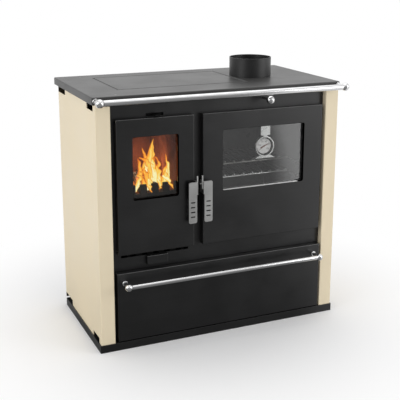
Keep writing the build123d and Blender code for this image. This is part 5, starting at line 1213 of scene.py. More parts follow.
@dataclass
class Flames:
    """Tongues of flame, each a bundle of strands that part towards its tip.

    Attributes:
        tongues: The tongues.
        seed: Start of the random draws.
        strand_width: Half width of a tongue for each of its strands.
        spread: How far strands stand off the spine, as a share of the tongue's half width.
        short_reach: Shares of the spine that the strands beside the first one cover.
        slim: Half widths of strands that share a tongue, as shares of the tongue's.
        lone_width: Half width of a strand that is alone, as a share of the tongue's.
        phases: Range of the strands' phases.
        steps: Steps along a strand.
        sides: Sides of its section.
        look_ahead: Share of the spine over which its direction is read.
        gather: Power by which strands close in on the spine towards its tip.
        side_waver: How far a strand wavers to the sides, in metres.
        side_waves: How often it does.
        depth_waver: How far it wavers in depth, as a share of its distance from the spine.
        depth_waves: How often it does.
        depth_slice: Where in the noise that is read.
        width_waver: How much its width wavers, as a share.
        swell_start: How far along its swell a strand starts.
        swell_power: Power of the swell, which makes it fuller below 1.
        taper: Share by which it also slims evenly towards its tip.
        thinnest: Half width that it ends with, in metres.
        flatness: Its half depth, as a share of its half width.
        foot_heat: Heat in the middle of the foot of the coolest tongue.
        heat_gain: How much the hottest tongue adds to that.
        tip_cooling: How much the middle cools up to the tip of the spine.
        cooling_power: Power by which it does.
        edge_cooling: How much cooler the sides are than the middle.
    """

    tongues: Sequence[Tongue] = (
        Tongue(
            -0.060, 0.019,
            ((-0.190, 0.490), (-0.207, 0.558), (-0.213, 0.584), (-0.203, 0.613), (-0.198, 0.641),
             (-0.190, 0.670)),
        ),
        Tongue(
            -0.045, 0.014,
            ((-0.186, 0.500), (-0.188, 0.573), (-0.192, 0.603), (-0.187, 0.631), (-0.189, 0.654)), 0.9,
        ),
        Tongue(-0.066, 0.010, ((-0.200, 0.535), (-0.212, 0.580), (-0.226, 0.602), (-0.246, 0.611)), 0.5),
        Tongue(-0.050, 0.009, ((-0.204, 0.560), (-0.214, 0.600), (-0.228, 0.640)), 0.4),
        Tongue(-0.072, 0.010, ((-0.208, 0.500), (-0.220, 0.545), (-0.230, 0.560), (-0.247, 0.563)), 0.7),
        Tongue(-0.080, 0.008, ((-0.216, 0.500), (-0.225, 0.548), (-0.232, 0.566), (-0.229, 0.582)), 0.4),
        Tongue(-0.135, 0.008, ((-0.284, 0.515), (-0.272, 0.545), (-0.266, 0.561), (-0.279, 0.572)), 0.8),
        Tongue(
            -0.070, 0.012,
            ((-0.152, 0.490), (-0.141, 0.540), (-0.142, 0.574), (-0.146, 0.592), (-0.151, 0.616)),
        ),
        Tongue(-0.060, 0.009, ((-0.156, 0.500), (-0.149, 0.552), (-0.143, 0.566), (-0.134, 0.577)), 0.8),
        Tongue(
            -0.035, 0.007,
            ((-0.173, 0.510), (-0.167, 0.559), (-0.161, 0.576), (-0.172, 0.596), (-0.181, 0.604)), 0.2,
        ),
        Tongue(-0.159, 0.006, ((-0.196, 0.566), (-0.176, 0.549), (-0.166, 0.532), (-0.157, 0.517))),
        Tongue(-0.158, 0.007, ((-0.245, 0.560), (-0.244, 0.535), (-0.233, 0.511)), 0.8),
        Tongue(-0.157, 0.006, ((-0.212, 0.556), (-0.203, 0.532), (-0.207, 0.522)), 0.8),
        Tongue(-0.075, 0.016, ((-0.224, 0.480), (-0.215, 0.535), (-0.216, 0.566))),
        Tongue(-0.060, 0.018, ((-0.180, 0.480), (-0.173, 0.535), (-0.182, 0.575))),
        Tongue(-0.075, 0.016, ((-0.158, 0.480), (-0.157, 0.530), (-0.154, 0.562))),
        Tongue(-0.085, 0.007, ((-0.128, 0.490), (-0.126, 0.522), (-0.133, 0.541)), 0.6),
        Tongue(-0.090, 0.009, ((-0.232, 0.480), (-0.238, 0.530), (-0.241, 0.552)), 0.5),
        Tongue(-0.020, 0.016, ((-0.235, 0.490), (-0.225, 0.560), (-0.236, 0.600)), 0.3),
        Tongue(0.000, 0.018, ((-0.190, 0.490), (-0.170, 0.560), (-0.175, 0.612)), 0.3),
    )
    seed: int = 11
    strand_width: float = 0.007
    spread: float = 0.8
    short_reach: tuple[float, float] = (0.5, 0.9)
    slim: tuple[float, float] = (0.62, 0.9)
    lone_width: float = 1.1
    phases: tuple[float, float] = (0.0, 50.0)
    steps: int = 20
    sides: int = 12
    look_ahead: float = 0.02
    gather: float = 0.7
    side_waver: float = 0.006
    side_waves: float = 6.0
    depth_waver: float = 0.4
    depth_waves: float = 2.0
    depth_slice: float = 9.0
    width_waver: float = 0.6
    swell_start: float = 0.15
    swell_power: float = 0.8
    taper: float = 0.3
    thinnest: float = 0.0002
    flatness: float = 0.5
    foot_heat: float = 0.68
    heat_gain: float = 0.42
    tip_cooling: float = 0.5
    cooling_power: float = 1.2
    edge_cooling: float = 0.52

    def build(self) -> None:
        """Builds every strand of every tongue into one piece, whose mesh holds its heat."""
        bm = bmesh.new()
        mark = bm.loops.layers.uv.new(HEAT_MARK)
        heats: dict[bmesh.types.BMVert, float] = {}
        chance = random.Random(self.seed)
        for tongue in self.tongues:
            spine = [Vector((x, tongue.depth, z)) for x, z in tongue.spine]
            for strand in self.strands(tongue, chance):
                heats.update(self.add_strand(bm, spine, strand))
        for face in bm.faces:
            for loop in face.loops:
                loop[mark].uv = (heats[loop.vert], 0.0)
        finished("flames", bm, "stove", FLAME, sharp=180.0)

    def strands(self, tongue: Tongue, chance: random.Random) -> list[Strand]:
        """Draws how the strands of a tongue lie, the first of them along its whole spine.

        Args:
            tongue: The tongue.
            chance: Where the random numbers come from.

        Returns:
            The strands.
        """
        count = max(1, round(tongue.width / self.strand_width))
        drawn = []
        for index in range(count):
            first = index == 0
            aside = 0.0 if first else chance.uniform(-self.spread, self.spread) * tongue.width
            reach = 1.0 if first else chance.uniform(*self.short_reach)
            half = tongue.width * (self.lone_width if count == 1 else chance.uniform(*self.slim))
            drawn.append(Strand(tongue.heat, aside, reach, half, chance.uniform(*self.phases)))
        return drawn

    def add_strand(
        self, bm: bmesh.types.BMesh, spine: Sequence[Vector], strand: Strand
    ) -> dict[bmesh.types.BMVert, float]:
        """Adds one strand, which is hottest along its middle and at its foot.

        Args:
            bm: The mesh of all the flames.
            spine: The tongue's spine.
            strand: How this strand lies on it.

        Returns:
            The heat of each of its vertices.
        """
        shares = [step / self.steps for step in range(self.steps + 1)]
        stations = [self.strand_station(spine, strand, share) for share in shares]
        heats = {}
        for share, ring, place in zip(shares, sweep(bm, stations, self.sides), stations):
            cooled = self.tip_cooling * (share * strand.reach) ** self.cooling_power
            middle = self.foot_heat + self.heat_gain * strand.heat - cooled
            to_ring = place.inverted()
            for vert in ring:
                across = (to_ring @ vert.co).x
                heats[vert] = middle - self.edge_cooling * across**2
        return heats

    def strand_station(self, spine: Sequence[Vector], strand: Strand, share: float) -> Matrix:
        """Place of a strand's section, which swells, wavers and ends in a point.

        Args:
            spine: The tongue's spine.
            strand: The strand.
            share: Share of its length, from 0 at the foot to 1 at the tip.

        Returns:
            The station's matrix.
        """
        along = share * strand.reach
        place = curve_point(spine, along)
        ahead = curve_point(spine, min(along + self.look_ahead, 1.0))
        behind = curve_point(spine, max(along - self.look_ahead, 0.0))
        waver = noise.noise(Vector((strand.phase, share * self.side_waves, 0.0)))
        sway = noise.noise(Vector((strand.phase, share * self.depth_waves, self.depth_slice)))
        place.x += strand.aside * (1.0 - share) ** self.gather
        place.x += self.side_waver * waver * math.sin(math.pi * share)
        place.y += self.depth_waver * strand.aside * sway
        swelling = min(self.swell_start + (1.0 - self.swell_start) * share, 1.0)
        swell = math.sin(math.pi * swelling) ** self.swell_power * (1.0 - self.taper * share)
        wide = max(strand.half * swell * (1.0 + self.width_waver * waver), self.thinnest)
        return station(place, ahead - behind, Axis.X.vector, wide, self.flatness * wide)


@dataclass
class Logs:
    """Charred logs on the grate.

    Attributes:
        places: Each log's two ends and its radius.
        steps: Steps along a log.
        sides: Sides of its section.
        swell: How uneven its thickness is, as a share of its radius.
        waves: How often that changes.
        apart: Distance in the noise from one log to the next.
        noise_slice: Where in the noise they are read.
        end_size: Size of its ends, as a share of its own.
        flatness: Its width as a share of its height.
        skin_depth: Depth of its rough skin, in metres.
        skin_scale: Scale of that.
    """

    places: Sequence[tuple[Point, Point, float]] = (
        ((-0.300, -0.095, 0.478), (-0.172, -0.065, 0.482), 0.020),
        ((-0.292, 0.010, 0.480), (-0.185, -0.050, 0.486), 0.022),
        ((-0.270, 0.070, 0.480), (-0.180, 0.020, 0.480), 0.021),
        ((-0.262, -0.110, 0.508), (-0.205, 0.060, 0.520), 0.018),
        ((-0.180, -0.105, 0.500), (-0.230, 0.050, 0.516), 0.017),
    )
    steps: int = 24
    sides: int = 20
    swell: float = 0.16
    waves: float = 6.0
    apart: float = 5.0
    noise_slice: float = 0.3
    end_size: float = 0.86
    flatness: float = 0.8
    skin_depth: float = 0.0035
    skin_scale: float = 90.0

    def build(self) -> None:
        """Builds every log into one piece."""
        bm = bmesh.new()
        for index, (start, end, radius) in enumerate(self.places):
            self.add_log(bm, Vector(start), Vector(end), radius, index)
        finished("burning_logs", bm, "stove", CHARRED, sharp=40.0)

    def add_log(self, bm: bmesh.types.BMesh, start: Vector, end: Vector, radius: float, index: int) -> None:
        """Adds a log of uneven thickness with a rough skin.

        Args:
            bm: The mesh of all the logs.
            start: One end of its centre line.
            end: The other end.
            radius: Its radius.
            index: Which log it is.
        """
        stations = []
        for step in range(self.steps + 1):
            share = step / self.steps
            uneven = noise.noise(Vector((index * self.apart, share * self.waves, self.noise_slice)))
            eased = self.end_size if step in (0, self.steps) else 1.0
            half = radius * (1.0 + self.swell * uneven) * eased
            place = start.lerp(end, share)
            stations.append(station(place, end - start, Axis.Z.vector, half, half * self.flatness))
        before = set(bm.verts)
        sweep(bm, stations, self.sides)
        for vert in set(bm.verts) - before:
            vert.co += self.skin_depth * noise.noise_vector(vert.co * self.skin_scale)


@dataclass
class EmberBed:
    """A bed of glowing lumps under the logs, the same each time.

    Attributes:
        count: How many lumps it has.
        low: Lowest place of a lump's centre.
        high: Highest place of a lump's centre.
        seed: Start of the random draws.
        sizes: Range of the lumps' radii.
        depths: Range of a lump's second radius, as a share of its first.
        height: Its third radius, as a share of its first.
        skin_depth: Depth of its rough skin, in metres.
        skin_scale: Scale of that.
    """

    count: int = 110
    low: Point = (-0.312, -0.136, 0.458)
    high: Point = (-0.166, 0.080, 0.472)
    seed: int = 7
    sizes: tuple[float, float] = (0.005, 0.010)
    depths: tuple[float, float] = (0.6, 1.0)
    height: float = 0.7
    skin_depth: float = 0.0022
    skin_scale: float = 220.0

    def build(self) -> None:
        """Builds every lump into one piece."""
        chance = random.Random(self.seed)
        bm = bmesh.new()
        tipped = Vector((1, 1, 1)).normalized()
        for _ in range(self.count):
            place = Vector([chance.uniform(a, b) for a, b in zip(self.low, self.high)])
            size = chance.uniform(*self.sizes)
            turned = Matrix.Rotation(chance.uniform(0, math.tau), 4, tipped)
            scaled = Matrix.Diagonal((size, size * chance.uniform(*self.depths), size * self.height, 1.0))
            lump = bmesh.ops.create_icosphere(
                bm, subdivisions=2, radius=1.0, matrix=Matrix.Translation(place) @ turned @ scaled
            )["verts"]
            for vert in lump:
                vert.co += self.skin_depth * noise.noise_vector(vert.co * self.skin_scale)
        finished("ember_bed", bm, "stove", EMBER, sharp=50.0)


@dataclass
class Fire:
    """Burning logs and embers on the grate, the flames above them and the light that they throw.

    Attributes:
        lamp_place: Where the light is.
        lamp_power: Its power in watts.
        lamp_colour: Its colour.
        lamp_radius: Its radius, which softens its shadows.
    """

    lamp_place: Point = (-0.235, -0.030, 0.560)
    lamp_power: float = 0.95
    lamp_colour: Colour = (1.0, 0.56, 0.30)
    lamp_radius: float = 0.03

    def build(self) -> None:
        """Builds the logs, the embers, the flames and their light."""
        Logs().build()
        EmberBed().build()
        Flames().build()
        self.build_light()

    def build_light(self) -> None:
        """Adds the warm light on the bricks, which isn't seen itself."""
        data = bpy.data.lights.new("fire_light", "POINT")
        data.energy = self.lamp_power
        data.color = self.lamp_colour
        data.shadow_soft_size = self.lamp_radius
        light = bpy.data.objects.new("fire_light", data)
        light.location = self.lamp_place
        light.visible_camera = False
        light.visible_transmission = False
        light.visible_glossy = False
        bpy.context.scene.collection.objects.link(light)


# ---------------------------------------------------------------- rails


@dataclass
class Rail:
    """A chrome rail between two ball brackets that stand off a front.

    Attributes:
        name: Start of its pieces' names.
        nodes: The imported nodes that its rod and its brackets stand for.
        body: The body that it rides on.
        y: Where its centre line is.
        z: How high that is.
        half_span: From its middle to the centre of a ball.
        radius: Radius of the rod.
        ball_radius: Radius of a ball.
        seat_y: Where the brackets meet the front.
        post_radius: Radius of the post behind a ball.
        boss_radius: Radius of the boss at the post's foot.
        boss_length: How far the boss stands off the front.
        overlap: How far the post goes into the boss.
        skin: How far from a ball's centre the rod and the post end, as a share of its radius.
    """

    name: str
    nodes: tuple[str, str]
    body: str
    y: float
    z: float
    half_span: float
    radius: float
    ball_radius: float
    seat_y: float
    post_radius: float = 0.006
    boss_radius: float = 0.009
    boss_length: float = 0.005
    overlap: float = 0.001
    skin: float = 0.8

    def build(self) -> None:
        """Builds the rod, then the brackets."""
        bm = bmesh.new()
        reach = self.half_span - self.ball_radius * self.skin
        rod(bm, Vector((-reach, self.y, self.z)), Vector((reach, self.y, self.z)), self.radius, 48)
        piece = finished(f"{self.name}_rod", bm, self.body, CHROME)
        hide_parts(self.nodes[0])
        bm = bmesh.new()
        for side in (-1, 1):
            self.add_bracket(bm, side * self.half_span)
        piece = finished(f"{self.name}_ends", bm, self.body, CHROME)
        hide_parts(self.nodes[1])

    def add_bracket(self, bm: bmesh.types.BMesh, x: float) -> None:
        """Adds a ball, its post and the boss on the front.

        Args:
            bm: The mesh of both brackets.
            x: X of the ball's centre.
        """
        ball(bm, Vector((x, self.y, self.z)), self.ball_radius)
        neck = Vector((x, self.y + self.ball_radius * self.skin, self.z))
        seat = Vector((x, self.seat_y, self.z))
        boss = Vector((x, self.seat_y - self.boss_length, self.z))
        rod(bm, neck, boss + Axis.Y.vector * self.overlap, self.post_radius)
        rod(bm, boss, seat, self.boss_radius)


# ---------------------------------------------------------------- oven


@dataclass
class OvenRack:
    """A wire rack: a frame wire, and cross wires whose ends lie over it.

    Attributes:
        node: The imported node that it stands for.
        finish: The wires' finish.
        wire: Radius of the frame wire.
        cross_wire: Radius of a cross wire.
        pitch: From one cross wire to the next.
        corner: Radius of the frame's corners.
        rest: Length of a cross wire that lies over the frame wire.
        slope: Distance from the frame within which it rises to it.
        front_lift: How high its front end lies, as a share of the height over the frame wire.
        front_slope: The same where it comes down behind the front.
        past: How far its ends stand past the frame's centre line, as a share of its radius.
    """

    node: str
    finish: Finish = RACK_CHROME
    wire: float = 0.003
    cross_wire: float = 0.002
    pitch: float = 0.036
    corner: float = 0.012
    rest: float = 0.004
    slope: float = 0.014
    front_lift: float = 1.3
    front_slope: float = 1.1
    past: float = 0.8

    def build(self) -> None:
        """Builds the frame wire and the cross wires."""
        low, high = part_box(self.node)
        z = (low.z + high.z) / 2
        inset = Vector((self.wire, self.wire, 0))
        first = low + inset
        last = high - inset
        bm = bmesh.new()
        loop = rounded_loop(first.x, last.x, first.y, last.y, z, self.corner, self.wire)
        sweep(bm, loop, segments=14, closed=True)
        count = int((last.x - first.x - self.pitch) / self.pitch) + 1
        middle = (first.x + last.x) / 2
        for index in range(count):
            x = middle + (index - (count - 1) / 2) * self.pitch
            self.add_cross_wire(bm, x, first.y, last.y, z)
        piece = finished(f"{self.node}_wires", bm, body_of_node(self.node), self.finish)
        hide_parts(self.node)

    def add_cross_wire(self, bm: bmesh.types.BMesh, x: float, front: float, back: float, z: float) -> None:
        """Adds a wire that rises over the frame wire at both ends.

        Args:
            bm: The rack's mesh.
            x: X of the wire.
            front: Y of the frame wire at the front.
            back: Y of the frame wire at the back.
            z: Height of the frame wire.
        """
        over = self.wire + self.cross_wire
        past = self.cross_wire * self.past
        points = [
            Vector((x, front - past, z + over * self.front_lift)),
            Vector((x, front + self.rest, z + over * self.front_slope)),
            Vector((x, front + self.slope, z)),
            Vector((x, back - self.slope, z)),
            Vector((x, back - self.rest, z + over)),
            Vector((x, back + past, z + over)),
        ]
        side = Axis.X.vector
        stations = []
        for index, point in enumerate(points):
            ahead = points[min(index + 1, len(points) - 1)]
            behind = points[max(index - 1, 0)]
            stations.append(station(point, ahead - behind, side, self.cross_wire, self.cross_wire))
        sweep(bm, stations, 10)


def rounded_loop(
    left: float, right: float, front: float, back: float, z: float, corner: float, radius: float,
    steps: int = 8,
) -> list[Matrix]:
    """Stations of a round wire bent to a flat rectangle with rounded corners.

    Args:
        left: Lowest X of the wire's centre line.
        right: Highest X.
        front: Lowest Y.
        back: Highest Y.
        z: Its height.
        corner: Radius of the corners.
        radius: Radius of the wire.
        steps: Stations in each corner.

    Returns:
        The stations, of which the last is the first again.
    """
    centres = (
        (right - corner, back - corner),
        (left + corner, back - corner),
        (left + corner, front + corner),
        (right - corner, front + corner),
    )
    stations = []
    for quarter, (x, y) in enumerate(centres):
        for step in range(steps + 1):
            angle = math.pi / 2 * (quarter + step / steps)
            place = Vector((x + corner * math.cos(angle), y + corner * math.sin(angle), z))
            along = Vector((-math.sin(angle), math.cos(angle), 0))
            stations.append(station(place, along, Axis.Z.vector, radius, radius))
    return [*stations, stations[0]]


@dataclass
class Thermometer:
    """What the oven thermometer's dial carries: marks, numbers and a dark ring round it that paints the
    shadow between the dial and the rim.

    Attributes:
        mark_count: Marks on the scale.
        long_each: Every mark of this count is a long one.
        long_mark: Length and half width of a long mark.
        short_mark: Length and half width of a short one.
        mark_height: How far a mark stands proud of the dial.
        mark_edge: Where the marks end, as a share of the dial's radius.
        scale_degrees: Angle that the scale covers, with its middle at the top.
        ring_width: Width of the dark ring.
        ring_half_depth: Its half depth.
        ring_sink: How far its middle lies behind the dial's face.
        ring_steps: Steps round the ring.
        numbers: The numbers, from the scale's start to its end.
        number_size: Their size.
        number_half_depth: Half of their thickness.
        number_place: Where their middles lie, as a share of the dial's radius.
    """

    mark_count: int = 26
    long_each: int = 5
    long_mark: tuple[float, float] = (0.0042, 0.0005)
    short_mark: tuple[float, float] = (0.0024, 0.0003)
    mark_height: float = 0.00012
    mark_edge: float = 0.93
    scale_degrees: float = 250.0
    ring_width: float = 0.0046
    ring_half_depth: float = 0.0005
    ring_sink: float = 0.0004
    ring_steps: int = 64
    numbers: Sequence[str] = ("50", "100", "150", "200", "250", "300")
    number_size: float = 0.0062
    number_half_depth: float = 0.00006
    number_place: float = 0.62

    def build(self) -> None:
        """Builds the marks, the dark ring and the numbers."""
        low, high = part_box("thermometer_dial")
        centre = Vector(((low.x + high.x) / 2, low.y, (low.z + high.z) / 2))
        radius = (high.x - low.x) / 2
        self.build_marks(centre, radius)
        self.build_ring(centre, radius)
        self.build_numbers(centre, radius)

    def angle(self, index: int, count: int) -> float:
        """Angle from the top, clockwise from the front, of one of some even places on the scale."""
        return math.radians(self.scale_degrees) * (index / (count - 1) - 0.5)

    def build_marks(self, centre: Vector, radius: float) -> None:
        """Builds the marks of the scale, which stand just proud of the dial.

        Args:
            centre: Centre of the dial's face.
            radius: The dial's radius.
        """
        bm = bmesh.new()
        top = radius * self.mark_edge
        for index in range(self.mark_count):
            length, half = self.short_mark if index % self.long_each else self.long_mark
            low = Vector((-half, -self.mark_height, top - length))
            verts = block(bm, low, Vector((half, 0.0, top)))
            turn = Matrix.Rotation(self.angle(index, self.mark_count), 4, "Y")
            bmesh.ops.transform(bm, matrix=Matrix.Translation(centre) @ turn, verts=verts)
        finished("thermometer_marks", bm, "oven_door", INK)

    def build_ring(self, centre: Vector, radius: float) -> None:
        """Builds the dark ring that paints the shadow between the dial and the case's rim.

        Args:
            centre: Centre of the dial's face.
            radius: The dial's radius.
        """
        half = self.ring_width / 2
        stations = []
        for step in range(self.ring_steps + 1):
            angle = math.tau * step / self.ring_steps
            outward = Vector((math.cos(angle), 0, math.sin(angle)))
            along = Vector((-math.sin(angle), 0, math.cos(angle)))
            place = centre + outward * (radius + half) + Axis.Y.vector * self.ring_sink
            stations.append(station(place, along, outward, half, self.ring_half_depth))
        bm = bmesh.new()
        sweep(bm, stations, closed=True)
        finished("thermometer_shadow_ring", bm, "oven_door", CARCASS_PAINT)

    def build_numbers(self, centre: Vector, radius: float) -> None:
        """Builds the scale's numbers as thin flat letters.

        Args:
            centre: Centre of the dial's face.
            radius: The dial's radius.
        """
        bm = bmesh.new()
        for index, text in enumerate(self.numbers):
            angle = self.angle(index, len(self.numbers))
            outward = Vector((math.sin(angle), 0, math.cos(angle)))
            place = centre + outward * radius * self.number_place
            curve = bpy.data.curves.new(f"number_{text}", "FONT")
            curve.body = text
            curve.size = self.number_size
            curve.align_x = "CENTER"
            curve.align_y = "CENTER"
            curve.extrude = self.number_half_depth
            letter = bpy.data.objects.new(f"number_{text}", curve)
            mesh = bpy.data.meshes.new_from_object(letter)
            mesh.transform(Matrix.Translation(place) @ Matrix.Rotation(math.pi / 2, 4, "X"))
            bm.from_mesh(mesh)
            bpy.data.objects.remove(letter)
            bpy.data.meshes.remove(mesh)
            bpy.data.curves.remove(curve)
        finished("thermometer_numbers", bm, "oven_door", INK)


@dataclass
class WindowTrim:
    """A matt black liner inside a door's window opening that paints the shade of its reveal, and a pale
    strip along its sill whose colour partly paints a highlight.

    Attributes:
        name: Start of its pieces' names.
        body: The door that it rides on.
        left: Lowest X of the opening.
        right: Highest X.
        bottom: Lowest Z.
        top: Highest Z.
        front: Front edge of the liner.
        back: Back edge of the liner.
        corner: Radius of the opening's corners.
        sheet: Thickness of the liner.
        sill: True if the strip shows.
        strip_height: Height of the strip.
        strip_ends: From the opening's sides to the strip's ends, as shares of the corner.
        strip_inset: From the liner's front and back edges to the strip.
        strip_edge: Radius of the strip's edges.
    """

    name: str
    body: str
    left: float
    right: float
    bottom: float
    top: float
    front: float = -0.2176
    back: float = -0.2062
    corner: float = 0.007
    sheet: float = 0.0005
    sill: bool = False
    strip_height: float = 0.0012
    strip_ends: tuple[float, float] = (0.5, 3.0)
    strip_inset: tuple[float, float] = (0.0006, 0.0004)
    strip_edge: float = 0.0003

    def build(self) -> None:
        """Builds the liner, then the strip if the window has one."""
        bm = bmesh.new()
        place = Matrix.Translation(((self.left + self.right) / 2, self.back, (self.bottom + self.top) / 2))
        size = Matrix.Diagonal((self.right - self.left, self.top - self.bottom, 1.0, 1.0))
        standing = place @ Matrix.Rotation(math.pi / 2, 4, "X") @ size
        bmesh.ops.create_grid(bm, x_segments=1, y_segments=1, size=0.5, matrix=standing)
        bmesh.ops.bevel(
            bm, geom=list(bm.verts), offset=self.corner, segments=6, profile=0.5, affect="VERTICES",
            material=-1,
        )
        face = bm.faces[:][0]
        bmesh.ops.inset_individual(bm, faces=[face], thickness=self.sheet, use_even_offset=True)
        bmesh.ops.delete(bm, geom=[face], context="FACES_ONLY")
        grown = bmesh.ops.extrude_face_region(bm, geom=bm.faces[:])["geom"]
        verts = [item for item in grown if isinstance(item, bmesh.types.BMVert)]
        bmesh.ops.translate(bm, vec=(0, self.front - self.back, 0), verts=verts)
        finished(f"{self.name}_edge_seal", bm, self.body, SHADE_LINER)
        if self.sill:
            self.build_sill()

    def build_sill(self) -> None:
        """Builds the trim strip below the glass, whose pale paint also paints the highlight along it."""
        bm = bmesh.new()
        left, right = self.strip_ends
        front, back = self.strip_inset
        seat = self.bottom + self.sheet
        low = Vector((self.left + self.corner * left, self.front + front, seat))
        high = Vector((self.right - self.corner * right, self.back - back, seat + self.strip_height))
        block(bm, low, high, bevel=self.strip_edge)
        finished(f"{self.name}_sill_strip", bm, self.body, SILL_HIGHLIGHT_PAINT)


@dataclass
class RopeGasket:
    """A rope seal of twisted strands that runs round behind a door's edge.

    Attributes:
        node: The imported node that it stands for.
        radius: Radius of the rope.
        corner: Radius of its bends.
        strands: How many strands it has.
        strand_share: Radius of a strand, as a share of the rope's.
        turns_per_metre: How tightly it is twisted.
        spacing: Length of a step along it.
    """

    node: str
    radius: float = 0.0037
    corner: float = 0.008
    strands: int = 3
    strand_share: float = 0.54
    turns_per_metre: float = 42.0
    spacing: float = 0.005

    def build(self) -> None:
        """Builds each strand of the rope as a closed loop."""
        low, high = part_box(self.node)
        edge = self.radius
        flat = rounded_loop(
            low.x + edge, high.x - edge, low.z + edge, high.z - edge, 0.0, self.corner, 1.0, steps=6
        )
        upright = Matrix.Translation((0, high.y - edge, 0)) @ Matrix.Rotation(math.pi / 2, 4, "X")
        frames = self.spread([upright @ place for place in flat])
        bm = bmesh.new()
        for strand in range(self.strands):
            sweep(bm, self.twisted(frames, strand), segments=7, closed=True)
        piece = finished(f"{self.node}_rope", bm, body_of_node(self.node), ROPE, sharp=180.0)
        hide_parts(self.node)

    def spread(self, frames: list[Matrix]) -> list[Matrix]:
        """Puts more stations on the straight runs, so that the twist is even.

        Args:
            frames: Stations of the rope's centre line.

        Returns:
            More of them.
        """
        out = []
        for first, second in zip(frames, frames[1:]):
            gap = (second.translation - first.translation).length
            count = max(1, round(gap / self.spacing))
            for step in range(count):
                place = first.copy()
                place.translation = first.translation.lerp(second.translation, step / count)
                out.append(place)
        return [*out, frames[-1]]

    def twisted(self, frames: list[Matrix], strand: int) -> list[Matrix]:
        """Stations of one strand that winds round the rope's centre line.

        Args:
            frames: Stations of the rope's centre line.
            strand: Which strand.

        Returns:
            The strand's stations.
        """
        steps = [(b.translation - a.translation).length for a, b in zip(frames, frames[1:])]
        length = sum(steps)
        turns = round(length * self.turns_per_metre)
        thick = self.radius * self.strand_share
        out = []
        travelled = 0.0
        for place, step in zip(frames, [*steps, 0.0]):
            angle = math.tau * (turns * travelled / length + strand / self.strands)
            aside = Vector((math.cos(angle), math.sin(angle), 0)) * (self.radius - thick)
            out.append(place @ Matrix.Translation(aside) @ Matrix.Diagonal((thick, thick, 1.0, 1.0)))
            travelled += step
        return out


# ---------------------------------------------------------------- covers and fasteners


@dataclass
class RearScrews:
    """Pan head screws that hold the rear cover.

    Attributes:
        head_radius: Radius of a head.
        head_height: How far it stands off the cover.
        profile: Shares of its height and of its radius, from the cover up.
        columns: X of the screws.
        rows: Z of the screws.
    """

    head_radius: float = 0.0045
    head_height: float = 0.0026
    profile: Sequence[tuple[float, float]] = ((0.0, 1.0), (0.55, 1.0), (0.85, 0.86), (1.0, 0.6))
    columns: Sequence[float] = (-0.380, 0.0, 0.380)
    rows: Sequence[float] = (0.075, 0.425, 0.775)

    def build(self) -> None:
        """Builds a screw in each place round the cover's edge, which leaves out the middle."""
        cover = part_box("rear_cover")[1].y
        middle = (self.columns[1], self.rows[1])
        bm = bmesh.new()
        for x in self.columns:
            for z in self.rows:
                if (x, z) != middle:
                    self.add_screw(bm, Vector((x, cover, z)))
        finished("rear_cover_screws", bm, "stove", ZINC)

    def add_screw(self, bm: bmesh.types.BMesh, seat: Vector) -> None:
        """Adds a head with its top eased to a low dome.

        Args:
            bm: The mesh of all the screws.
            seat: Where the head's middle meets the cover.
        """
        away = Axis.Y.vector
        stations = []
        for rise, wide in self.profile:
            half = self.head_radius * wide
            place = seat + away * self.head_height * rise
            stations.append(station(place, away, Axis.X.vector, half, half))
        sweep(bm, stations, segments=24)


# ---------------------------------------------------------------- studio


@dataclass(frozen=True)
class Lamp:
    """A soft square lamp.

    Attributes:
        name: Its name.
        place: Where it is.
        target: The point that it faces.
        size: Its side.
        power: Its power in watts.
    """

    name: str
    place: Point
    target: Point
    size: float
    power: float

    def build(self) -> None:
        """Adds the lamp to the scene."""
        data = bpy.data.lights.new(self.name, "AREA")
        data.size = self.size
        data.energy = self.power
        lamp = bpy.data.objects.new(self.name, data)
        lamp.location = self.place
        lamp.rotation_mode = "QUATERNION"
        lamp.rotation_quaternion = (Vector(self.target) - Vector(self.place)).to_track_quat("-Z", "Y")
        bpy.context.scene.collection.objects.link(lamp)


@dataclass(frozen=True)
class Room:
    """What reflections show of the room: a dim front, and a bright back, right side and top.

    Attributes:
        dim: Level of the dim front.
        back: Values along Y between which it brightens towards the back.
        side: Values along the bright side's direction between which it brightens.
        bright_side: That direction.
        top: Values along Z between which it brightens upwards.
    """

    dim: float
    back: tuple[float, float]
    side: tuple[float, float]
    bright_side: Point = (1.0, 0.493, 0.0)
    top: tuple[float, float] = (0.3, 0.6)

    def level(self, w: Wiring, place: bpy.types.NodeSocket) -> bpy.types.NodeSocket:
        """How bright the room looks there: white to the camera, and itself in reflections.

        Args:
            w: Wiring of the tree.
            place: Place on the floor, or direction into the world.

        Returns:
            The level's socket.
        """
        behind = w.ranged(w.part(place, Axis.Y), *self.back, self.dim, 1.0)
        across = w.add("VectorMath", operation="DOT_PRODUCT")
        w.join(place, across.inputs[0])
        across.inputs[1].default_value = self.bright_side
        aside = w.ranged(across.outputs["Value"], *self.side, self.dim, 1.0)
        above = w.ranged(w.part(place, Axis.Z), *self.top, self.dim, 1.0)
        brightest = w.math("MAXIMUM", w.math("MAXIMUM", behind, aside), above)
        return w.math("MAXIMUM", brightest, w.looked_at())


